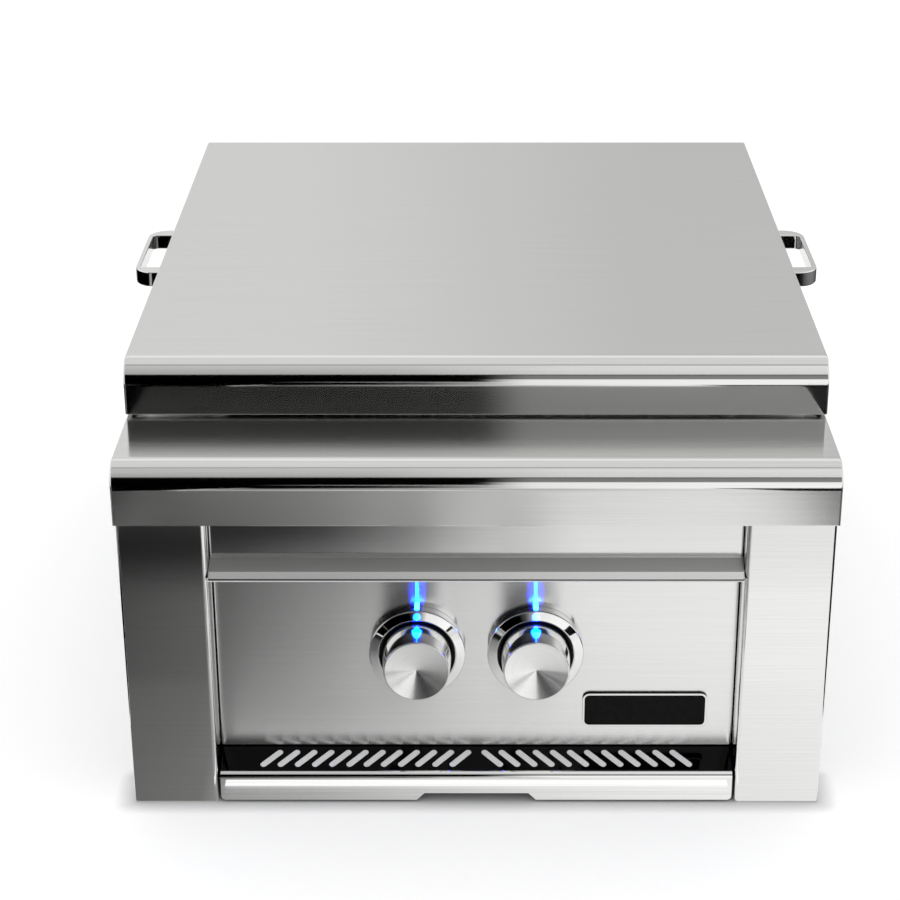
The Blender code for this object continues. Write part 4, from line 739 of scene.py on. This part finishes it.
# ---- covers round the controls
def wing_covers():
    """Folded channel each side of the bay, its seen face path folded at four bends."""
    for side, s in LEFT_RIGHT:
        fold = [(TAB_HALF, WING_BACK + WING_TAB), (TAB_HALF, WING_BACK, WING_BEND),
                (BAY_HALF, WING_BACK), (BAY_HALF, WING_FACE, RETURN_BEND),
                (WING_HALF, WING_FACE, WING_BEND), (WING_HALF, WING_BACK)]
        outline = bent_sheet([(s * x, *rest) for x, *rest in fold], s * SHEET)
        mesh = bar(f"{side}_wing", outline, "Z", (0.0, WING_TOP))
        finished(f"{side}_wing", mesh, WING, "root",
                 (f"{side}_wing_cover",), edge=0.25)


def brow():
    """Recessed band, its sloping ledge and its nose, folded from one strip; a trim covers the nose.

    The strip's ends turn back by r - sqrt(r^2 - d^2) at d along a bend of radius r. Below the nose
    lies a round bead in pale matt, a painted highlight for the bright line there. Between the two
    lies a black bar, painted shade for the nose's shaded return. Known fault: the run below the
    nose's tip is too short for its ease, so a row of points on the strip's back is not a number.
    """
    outline = bent_sheet([(BROW_FACE, BROW_TOP), (BROW_FACE, BROW_FOOT, 0.8), (*NOSE_EDGE, 0.9),
                          (*NOSE_TIP, 0.3), (NOSE_TIP[0], NOSE_UNDER), (BROW_BACK, NOSE_UNDER)],
                         SHEET)
    ease = np.linspace(0, math.pi / 2, 6)
    ends = BROW_HALF - BROW_END_BEND + BROW_END_BEND * np.sin(ease)
    flat = [-ends[0] + 0.4, ends[0] - 0.4]
    strip = carried(outline, "X", np.concatenate([-ends[::-1], flat, ends]))
    setback = BROW_END_BEND - BROW_END_BEND * np.cos(ease)
    strip[:, :, 1] += np.concatenate([setback[::-1], [0.0, 0.0], setback])[:, None]
    mesh = surface("brow_strip", strip, caps=(0, -1))
    finished("brow_strip", mesh, BROW, "root", ("panel_brow",), edge=0.2)
    mesh = bar("nose_trim", NOSE_TRIM, "X", (1.0 - BROW_HALF, BROW_HALF - 1.0))
    finished("nose_trim", mesh, BRUSHED, "root")
    # Black bar between nose and bead: painted shade for the shaded return under the nose.
    shade_bar = [(SHADE_BAR_FACE, SHADE_BAR_LOW), (BROW_BACK, SHADE_BAR_LOW), (BROW_BACK, SHADE_BAR_HIGH),
             (SHADE_BAR_FACE, SHADE_BAR_HIGH)]
    mesh = bar("brow_shade_bar", shade_bar, "X", (0.4 - BROW_HALF, BROW_HALF - 0.4))
    finished("brow_shade_bar", mesh, ABS, "root")
    # Pale matt bead: painted highlight for the bright line under the nose.
    turn = np.linspace(0, 2 * math.pi, 24, endpoint=False)
    bead = np.stack([BEAD_Y + BEAD_R * np.cos(turn), BEAD_Z + BEAD_R * np.sin(turn)], 1)
    mesh = bar("brow_highlight_bead", bead, "X", (-BROW_HALF, BROW_HALF))
    finished("brow_highlight_bead", mesh, PALE_PAINTED_LIGHT, "root")


def panel():
    """Control panel: a plate whose ends turn back round small bends, with two stem holes."""
    back = PANEL_FACE + PANEL_RETURN
    outline = bent_sheet([(-BROW_HALF, back), (-BROW_HALF, PANEL_FACE, PANEL_BEND),
                          (BROW_HALF, PANEL_FACE, PANEL_BEND), (BROW_HALF, back)], PANEL_SHEET)
    mesh = bar("panel_plate", outline, "Z", (PANEL_LOW, PANEL_HIGH))
    bore = [(STEM_HOLE_R, PANEL_FACE - 5.0), (STEM_HOLE_R, PANEL_FACE + 5.0)]
    holes = [surface("stem_hole", spun(bore, centre), caps=(0, -1)) for centre in KNOBS.values()]
    finished("panel_plate", cut_away(mesh, holes), BRUSHED, "root",
             ("control_panel",), edge=0.2)


def tray_face():
    """Tray front: lip, bend and ledge folded from one strip, with slots, a notch and closed ends.

    A slot is a straight run with half circles on its ends, turned 45 degrees, and mirrored from
    side to side.
    """
    outline = bent_sheet([(LIP_Y, LIP_LOW), (LIP_Y, LIP_HIGH, LIP_BEND),
                          (LEDGE_Y, LEDGE_Z, LEDGE_BEND), (LEDGE_Y, LEDGE_DROP)], -SHEET)
    mesh = bar("tray_face", outline, "X", (-LIP_HALF, LIP_HALF))
    tools = []
    through_lip, through_ledge = (1.0, 8.0), (20.0, 36.0)
    turn = np.linspace(-math.pi / 2, math.pi / 2, 9)
    end = np.stack([np.cos(turn) * SLOT_WIDE / 2, np.sin(turn) * SLOT_WIDE / 2], 1)
    slot = np.vstack([end + (SLOT_LONG / 2, 0.0), -end - (SLOT_LONG / 2, 0.0)])
    for _, s in LEFT_RIGHT:
        tilt = math.radians(-90 + 45 * s)
        spin = np.array([[math.cos(tilt), math.sin(tilt)], [-math.sin(tilt), math.cos(tilt)]])
        for x in SLOT_X:
            hole = slot @ spin + (s * x, SLOT_Y)
            tools.append(bar("slot", hole, "Z", through_ledge))
    low, high = LIP_LOW - NOTCH_DEEP, LIP_LOW + NOTCH_DEEP
    notch = [(-NOTCH_HALF - NOTCH_DEEP, low), (NOTCH_HALF + NOTCH_DEEP, low),
             (NOTCH_HALF - NOTCH_DEEP, high), (-NOTCH_HALF + NOTCH_DEEP, high)]
    tools.append(bar("notch", notch, "Y", through_lip))
    bow = np.linspace(0, math.pi / 2, 7)
    r, past, below = LIP_CORNER, LIP_HALF + 2, LIP_LOW - 2
    arc = np.stack([LIP_HALF - r + r * np.sin(bow), LIP_LOW + r - r * np.cos(bow)], 1)
    corner = np.vstack([arc, [(past, LIP_LOW + r), (past, below), (LIP_HALF - r, below)]])
    tools += [bar("corner", corner * (s, 1.0), "Y", through_lip) for _, s in LEFT_RIGHT]
    finished("tray_face", cut_away(mesh, tools), TRAY, "tray",
             ("tray_front",), edge=0.15)
    cheek = [(LIP_Y + 2.0, 8.0), (LIP_Y + 2.0, 20.0), (LIP_Y + 8.0, 24.0), (LEDGE_Y - 1.4, 30.5),
             (LEDGE_Y - 1.4, LEDGE_DROP)]
    for side, s in LEFT_RIGHT:
        span = sorted((s * (LIP_HALF - 0.4), s * (LIP_HALF - 1.6)))
        mesh = bar(f"{side}_tray_cheek", cheek, "X", span)
        finished(f"{side}_tray_cheek", mesh, BUFFED, "tray")


# ---- knobs, bezels and lights
def knobs():
    """Tapered knob spun from one profile: rim, side, and a hollow with its hub; its face is set in.

    The face is a dish: a cone whose depth falls evenly from the middle to the rim.
    """
    ease = np.linspace(0, math.pi / 2, 7)
    rim = np.stack([KNOB_FACE_R - RIM_BEND + RIM_BEND * np.sin(ease),
                    KNOB_FRONT + RIM_BEND - RIM_BEND * np.cos(ease)], 1)
    seat = KNOB_FRONT + KNOB_DISH + 1.4
    recess = KNOB_INLAY_R + 0.15
    body = np.vstack([[(0.0, seat), (recess, seat), (recess, KNOB_FRONT)], rim,
                      [(KNOB_FACE_R + 0.06, KNOB_FRONT + 1.8),
                       (KNOB_BASE_R - 0.05, KNOB_BACK - 0.9), (KNOB_BASE_R, KNOB_BACK - 0.35),
                       (KNOB_BASE_R - 0.35, KNOB_BACK), (HOLLOW_MOUTH, KNOB_BACK),
                       (HOLLOW_R, HOLLOW_Y), (HUB_R, HOLLOW_Y), (HUB_R, KNOB_BACK),
                       (BORE_R, KNOB_BACK), (BORE_R, HOLLOW_Y), (0.0, HOLLOW_Y)]])
    radius = np.linspace(0.0, KNOB_INLAY_R, 16)
    dish = np.stack([radius, KNOB_FRONT + 0.1 + KNOB_DISH * (1 - radius / KNOB_INLAY_R)], 1)
    inlay = np.vstack([dish, [(KNOB_INLAY_R, seat - 0.15), (0.0, seat - 0.15)]])
    for side, centre in KNOBS.items():
        mesh = surface(f"{side}_turned_knob", spun(body, centre), closed=True)
        finished(f"{side}_turned_knob", mesh, POLISHED, f"{side}_knob_body",
                 (f"{side}_knob",), along="Y", centre=centre)
        mesh = surface(f"{side}_knob_face", spun(inlay, centre), closed=True)
        finished(f"{side}_knob_face", mesh, TURNED, f"{side}_knob_body",
                 along="Y", centre=centre)


def bezels():
    """Polished cup round each knob, with a slot for its light and a black sleeve in its throat:
    painted shade for the dark gap round the knob.
    """
    lip, shoulder = BEZEL_BACK - 9.7, BEZEL_BACK - 7.7
    floor_y = BEZEL_BACK - 2.5
    profile = bends([(BEZEL_R, BEZEL_BACK), (BEZEL_R, shoulder, 1.1), (BEZEL_MOUTH, lip, 0.7),
                     (THROAT_R, lip + 0.6, 0.3), (THROAT_R, floor_y), (STEM_HOLE_R, floor_y),
                     (STEM_HOLE_R, BEZEL_BACK)], 8, ease=0.25)
    hole, inner, end = STEM_HOLE_R + 0.2, SHADE_SLEEVE_R - SHADE_SLEEVE_WALL, SHADE_SLEEVE_BACK - SHADE_SLEEVE_WALL
    sleeve = [(SHADE_SLEEVE_R, SHADE_SLEEVE_FRONT), (SHADE_SLEEVE_R, SHADE_SLEEVE_BACK), (hole, SHADE_SLEEVE_BACK), (hole, end),
              (inner, end), (inner, SHADE_SLEEVE_FRONT)]
    for side, centre in KNOBS.items():
        mesh = surface(f"{side}_bezel_cup", spun(profile, centre), wrap_rows=True)
        slot = np.array([(-LIGHT_HALF, LIGHT_LOW), (LIGHT_HALF, LIGHT_LOW),
                         (LIGHT_HALF, LIGHT_HIGH), (-LIGHT_HALF, LIGHT_HIGH)]) + centre[::2]
        slotted = cut_away(mesh, [bar("light_slot", slot, "Y", (24.4, 30.9))])
        finished(f"{side}_bezel_cup", slotted, BUFFED, "root",
                 (f"{side}_bezel",), along="Y", centre=centre)
        # Black sleeve: painted shade that darkens the gap round the knob and what the knob's side
        # mirrors.
        mesh = surface(f"{side}_bezel_shade_sleeve", spun(sleeve, centre), wrap_rows=True)
        finished(f"{side}_bezel_shade_sleeve", mesh, ABS, "root", along="Y", centre=centre)


def slot_liner():
    """Pale matt strip close under the slotted ledge, seen through the slots: it makes them look
    lit, painted light.
    """
    slope = math.tan(math.radians(LEDGE_SLOPE))
    low, high, drop = 9.5, 27.0, 0.35
    z_low, z_high = (LEDGE_Z - (LEDGE_Y - y) * slope - drop for y in (low, high))
    strip = [(low, z_low), (high, z_high), (high, z_high - 0.6), (low, z_low - 0.6)]
    # The strip's pale colour stands for light seen through the slots: painted light.
    mesh = bar("slot_liner", strip, "X", (-172.0, 172.0))
    finished("slot_liner", mesh, PALE_PAINTED_LIGHT, "tray")


lid_shell()
counter_frame()
lid_handles()
wing_covers()
brow()
panel()
tray_face()
knobs()
bezels()
slot_liner()

from_solid("bare_plate", PLATE, edge=0.25)
from_solid("pot_grate", GRATE, edge=0.6)
from_solid("centre_grate", GRATE, edge=0.6)
for node in ("casing_left_side", "casing_right_side", "casing_back", "base_pan", "heat_shield",
             "firebox_pan", "burner_carrier", "drip_tray_pan", "left_tray_runner",
             "right_tray_runner", "igniter_bracket", "left_air_shutter", "right_air_shutter",
             "gas_manifold", "gas_supply_pipe"):
    from_solid(node, MILL, edge=0.2)
for node in ("outer_flame_ring", "inner_flame_cap"):
    from_solid(node, BRASS, along="Z", centre=BURNER, edge=0.35)
for side, centre in KNOBS.items():
    for node in ("valve_plug", "valve_stem", "orifice"):
        from_solid(f"{side}_{node}", BRASS, along="Y", centre=centre, edge=0.2)
    from_solid(f"{side}_valve_body", DIECAST, edge=0.6)
    from_solid(f"{side}_light_lens", LENS, edge=0.2)
from_solid("gas_inlet_fitting", BRASS, along="Y", centre=INLET, edge=0.3)
for node in ("outer_burner_bowl", "inner_burner_bowl", "outer_venturi", "inner_venturi",
             "outer_mixer_face", "inner_mixer_face"):
    from_solid(node, CAST, edge=0.5)
from_solid("ignition_module", ABS, edge=1.0)
from_solid("power_socket", ABS, edge=0.3)
from_solid("igniter", CERAMIC, edge=0.3)
for end in ("front", "rear"):
    for side in ("left", "right"):
        from_solid(f"lid_pad_{end}_{side}", SILICONE, edge=0.3)


# ---- studio
def emptied(block):
    """The node tree of a new material or world, with no nodes in it."""
    block.use_nodes = True
    block.node_tree.nodes.clear()
    return block.node_tree


def card(name, corners, along, rows):
    """A board that only reflections see.

    Each row is a place along the axis named and a ramp of (x, glow) there; between two rows the
    glow is blended evenly.
    """
    mesh = bpy.data.meshes.new(name)
    mesh.from_pydata(corners, [], [(0, 1, 2, 3)])
    material = bpy.data.materials.new(name)
    tree = emptied(material)
    where = add(tree, "TexCoord")
    parts = add(tree, "SeparateXYZ", {"Vector": where.outputs["Object"]})
    low, high = min(c[0] for c in corners), max(c[0] for c in corners)
    share = add(tree, "MapRange", {"Value": parts.outputs["X"], "From Min": low, "From Max": high})
    glow, last = None, None
    for place, ramp in rows:
        stops = [((x - low) / (high - low), grey(value)) for x, value in ramp]
        row = add(tree, "ValToRGB", {"Fac": share}, stops=stops)
        if glow is None:
            glow = row
        else:
            part = add(tree, "MapRange", {"Value": parts.outputs[along], "From Min": last,
                                          "From Max": place})
            glow = add(tree, "Mix", {0: part, 6: glow, 7: row},
                       data_type="RGBA").outputs[2]
        last = place
    light = add(tree, "Emission", {"Color": glow})
    add(tree, "OutputMaterial", {"Surface": light})
    mesh.materials.append(material)
    board = placed(name, mesh)
    board.visible_camera = False
    board.visible_diffuse = False
    board.visible_shadow = False
    board.visible_transmission = False


def upright(x0, x1, y, z0, z1):
    """Corners of a card that stands across the set."""
    return [(x0, y, z0), (x1, y, z0), (x1, y, z1), (x0, y, z1)]


def lying(x0, x1, y0, y1, z):
    """Corners of a card that lies level."""
    return [(x0, y0, z), (x1, y0, z), (x1, y1, z), (x0, y1, z)]


def floor():
    """Plain pale floor, lifted a little for the camera so that it meets the white.

    The lift fades out over the last 16 mm before the front's foot, which paints the floor darker
    there: a painted contact shadow on top of the lamps' own shadow.
    """
    mesh = bpy.data.meshes.new("floor")
    mesh.from_pydata(lying(-6, 6, -6, 6, 0), [], [(0, 1, 2, 3)])
    material = bpy.data.materials.new("pale_floor")
    tree = emptied(material)
    path = add(tree, "LightPath")
    seen = add(tree, "Math", {0: path.outputs["Is Camera Ray"], 1: path.outputs["Is Glossy Ray"]},
               operation="MAXIMUM")
    # Box at the front's foot where the lift is taken away: a painted contact shadow.
    middle = (0.0, -(FASCIA_Y + WING_FACE + SHADOW_DEEP) * MM, 0.0)
    half, origin = (WING_HALF * MM, SHADOW_DEEP * MM, 0.0), (0.0, 0.0, 0.0)
    place = add(tree, "TexCoord").outputs["Object"]
    for job, other in (("ADD", middle), ("ABSOLUTE", origin), ("SUBTRACT", half),
                       ("MAXIMUM", origin)):
        place = add(tree, "VectorMath", {0: place, 1: other}, operation=job)
    reach = add(tree, "VectorMath", {0: place}, operation="LENGTH")
    share = add(tree, "MapRange", {"Value": reach.outputs["Value"],
                                   "From Max": SHADOW_DEEP * MM, "To Max": 0.42})
    lift = add(tree, "Math", {0: seen, 1: share}, operation="MULTIPLY")
    matt = add(tree, "BsdfDiffuse", {"Color": grey(0.7)})
    glow = add(tree, "Emission", {"Strength": lift})
    both = add(tree, "AddShader", {0: matt, 1: glow})
    add(tree, "OutputMaterial", {"Surface": both})
    mesh.materials.append(material)
    thing = placed("floor", mesh)


def studio():
    """White surround, one broad overhead lamp, and the boards that the bright metal mirrors."""
    world = bpy.data.worlds.new("white_surround")
    bpy.context.scene.world = world
    tree = emptied(world)
    path = add(tree, "LightPath")
    seen = add(tree, "Math", {0: path.outputs["Is Camera Ray"], 1: path.outputs["Is Glossy Ray"]},
               operation="MAXIMUM")
    through = add(tree, "Math", {0: seen, 1: path.outputs["Is Transmission Ray"]},
                  operation="MAXIMUM")
    strength = add(tree, "MapRange", {"Value": through, "To Min": 0.85, "To Max": 1.0})
    light = add(tree, "Background", {"Color": grey(1.0), "Strength": strength})
    add(tree, "OutputWorld", {"Surface": light})
    lamp = bpy.data.lights.new("overhead", "AREA")
    lamp.shape = "RECTANGLE"
    lamp.size = 2.6
    lamp.size_y = 2.2
    lamp.energy = 12.0
    hung = placed("overhead", lamp)
    hung.location = (0.1, -0.1, 2.4)
    hung.visible_glossy = False
    cards()


def cards():
    """The cards that bright metal mirrors, dark at the left and white at the right.

    A named row holds the x and glow that one part of the front mirrors. The bends mirror white,
    right, strip and dull; the others are named for the counter frame, brow, knobs and foot.
    """
    card("back_card", upright(-2.6, 2.6, 1.5, 0.02, 1.75), "Z",
         [(0.02, ((-2.6, 0.80), (-0.25, 0.79), (0.25, 0.62), (2.6, 0.60)))])
    card("overhead_card", lying(-2.2, 2.2, -1.5, 1.2, 2.4), "Y",
         [(-1.5, ((-2.2, 0.52), (-0.2, 0.60), (0.2, 0.84), (2.2, 0.98))),
          (-0.74, ((-2.2, 0.60), (-0.2, 0.66), (0.2, 0.86), (2.2, 0.98))),
          (-0.66, ((-2.2, 0.42), (2.2, 0.48))), (-0.54, ((-2.2, 0.42), (2.2, 0.48))),
          (-0.46, ((-2.2, 0.80), (2.2, 0.80))), (1.2, ((-2.2, 0.80), (2.2, 0.80)))])
    bright = ((0.055, 0.75), (0.09, 1.0), (0.4, 1.12), (1.6, 1.15))
    white = ((-1.6, 0.0), (-0.19, 0.0), (-0.09, 0.08), (0.0, 0.36), *bright)
    right = ((-1.6, 0.0), (0.01, 0.0), *bright)
    strip = ((-1.6, 0.0), (-0.36, 0.0), (-0.2, 0.6), (0.0, 1.0), (1.6, 1.15))
    dull = ((-1.6, 0.0), (0.015, 0.0), (0.055, 0.12), (0.09, 0.23), (0.4, 0.25), (1.6, 0.30))
    black = ((-1.6, 0.0), (1.6, 0.02))
    card("front_card", upright(-1.6, 1.6, -1.5, 0.0, 1.16), "Z",
         [(0.0, white), (0.262, white), (0.266, right), (0.271, right), (0.275, strip),
          (0.300, strip), (0.304, right), (0.56, right), (0.60, dull), (1.05, dull),
          (1.07, black), (1.16, black)])
    card("brow_card", upright(-2.2, 2.2, -1.5, 1.16, 2.4), "Z",
         [(1.16, ((-2.2, 0.40), (-0.2, 0.48), (0.2, 0.80), (2.2, 0.95))),
          (2.4, ((-2.2, 0.52), (-0.2, 0.60), (0.2, 0.84), (2.2, 0.98)))])
    frame_row = ((-0.36, 0.42), (-0.32, 0.45), (-0.237, 0.56), (-0.18, 0.62), (-0.126, 0.72),
                 (-0.098, 0.75), (-0.043, 0.78), (0.013, 0.70), (0.069, 0.68), (0.124, 0.68),
                 (0.263, 0.75), (0.36, 0.9))
    card("far_floor_card", lying(-0.36, 0.36, -1.5, -0.96, 0.003), "Y",
         [(-1.5, ((-0.36, 0.0), (-0.33, 0.0), (0.03, 1.0), (0.36, 1.0))),
          (-1.335, ((-0.36, 0.0), (-0.33, 0.0), (0.03, 1.0), (0.36, 1.0))),
          (-1.33, ((-0.36, 0.08), (-0.05, 0.12), (0.1, 0.35), (0.25, 0.9), (0.36, 1.0))),
          (-0.96, frame_row)])
    brow_row = ((-0.36, 0.006), (-0.21, 0.010), (-0.176, 0.016), (-0.14, 0.04), (-0.10, 0.12),
                (-0.06, 0.24), (0.0, 0.54), (0.1, 0.90), (0.36, 0.98))
    knob_row = ((-0.36, 0.05), (-0.22, 0.14), (-0.12, 0.36), (-0.082, 0.50), (-0.080, 0.0),
                (-0.055, 0.0), (-0.036, 0.25), (-0.030, 1.10), (-0.023, 0.76), (0.0, 0.80),
                (0.021, 0.84), (0.023, 0.0), (0.045, 0.0), (0.067, 0.40), (0.074, 1.15),
                (0.082, 0.96), (0.1, 1.0), (0.36, 1.10))
    foot_row = ((-0.36, 0.15), (-0.26, 0.16), (-0.205, 0.20), (-0.185, 0.36), (-0.12, 0.46),
                (0.0, 0.74), (0.1, 0.9), (0.17, 0.95), (0.36, 1.05))
    card("near_floor_card", lying(-0.36, 0.36, -0.96, -0.3326, 0.0008), "Y",
         [(-0.96, frame_row),
          (-0.89, frame_row), (-0.85, brow_row), (-0.74, brow_row),
          (-0.68, ((-0.36, 0.04), (-0.22, 0.10), (-0.12, 0.28), (0.0, 0.70), (0.1, 0.96),
                   (0.36, 1.05))),
          (-0.665, knob_row), (-0.52, knob_row),
          (-0.50, ((-0.36, 0.09), (-0.22, 0.16), (-0.12, 0.40), (0.0, 0.78), (0.1, 0.96),
                   (0.36, 1.08))),
          (-0.36, foot_row)])
    card("foot_card", lying(-0.188, 0.188, -0.3635, -0.3517, 0.0016), "Y",
         [(-0.3635, ((-0.188, 1.15), (0.188, 1.2)))])
    card("left_dark_card", lying(-1.3, -0.37, -1.5, 0.9, 0.003), "Y",
         [(-1.5, ((-1.3, 0.0), (-0.8, 0.0), (-0.74, 0.4), (-0.64, 0.4), (-0.58, 0.0),
                  (-0.37, 0.0)))])
    card("right_dark_card", lying(0.37, 1.3, -1.5, 0.9, 0.003), "Y",
         [(-1.5, ((0.37, 0.0), (0.7, 0.02), (1.3, 0.3)))])


def glow_lamps():
    """Blue light thrown by each lens: two small lamps before it, and two slim ones up the panel.

    Each is its colour, watts, width, height if it is slim, and place, y from the fascia and z from
    the knob's middle.
    """
    lamps = (("core", (0.0, 0.24, 1.0), 0.08, 0.0012, None, 19.0, 30.5),
             ("halo", (0.0, 0.02, 1.0), 0.09, 0.006, None, 19.0, 30.5),
             ("streak", (0.0, 0.30, 1.0), 0.0009, 0.0024, 0.036, 26.0, 50.0),
             ("glow", (0.0, 0.01, 1.0), 0.0006, 0.013, 0.036, 26.0, 45.0))
    for side, s in LEFT_RIGHT:
        for part, colour, watts, wide, tall, y, z in lamps:
            name = f"{side}_light_{part}"
            lamp = bpy.data.lights.new(name, "AREA" if tall else "POINT")
            lamp.color = colour
            lamp.energy = watts
            hung = placed(name, lamp)
            if tall:
                lamp.shape = "ELLIPSE"
                lamp.size = wide
                lamp.size_y = tall
                hung.rotation_euler = (math.pi / 2, 0.0, 0.0)
            else:
                lamp.shadow_soft_size = wide
            hung.location = (s * KNOB_X * MM, (FASCIA_Y + y) * MM, (KNOB_Z + z) * MM)
            hung.visible_camera = False


def camera():
    """Camera at the photograph's angle, with the small sideways shift that its framing has."""
    lens = bpy.data.cameras.new("camera")
    lens.sensor_width = 36.0
    lens.lens = FOCAL / PIXELS * lens.sensor_width
    lens.shift_x = -26 / PIXELS
    eye = placed("camera", lens)
    eye.location = EYE
    eye.rotation_euler = (math.pi / 2 - TILT, 0.0, 0.0)
    bpy.context.scene.camera = eye


floor()
studio()
glow_lamps()
camera()
bpy.context.scene.view_settings.view_transform = "Standard"
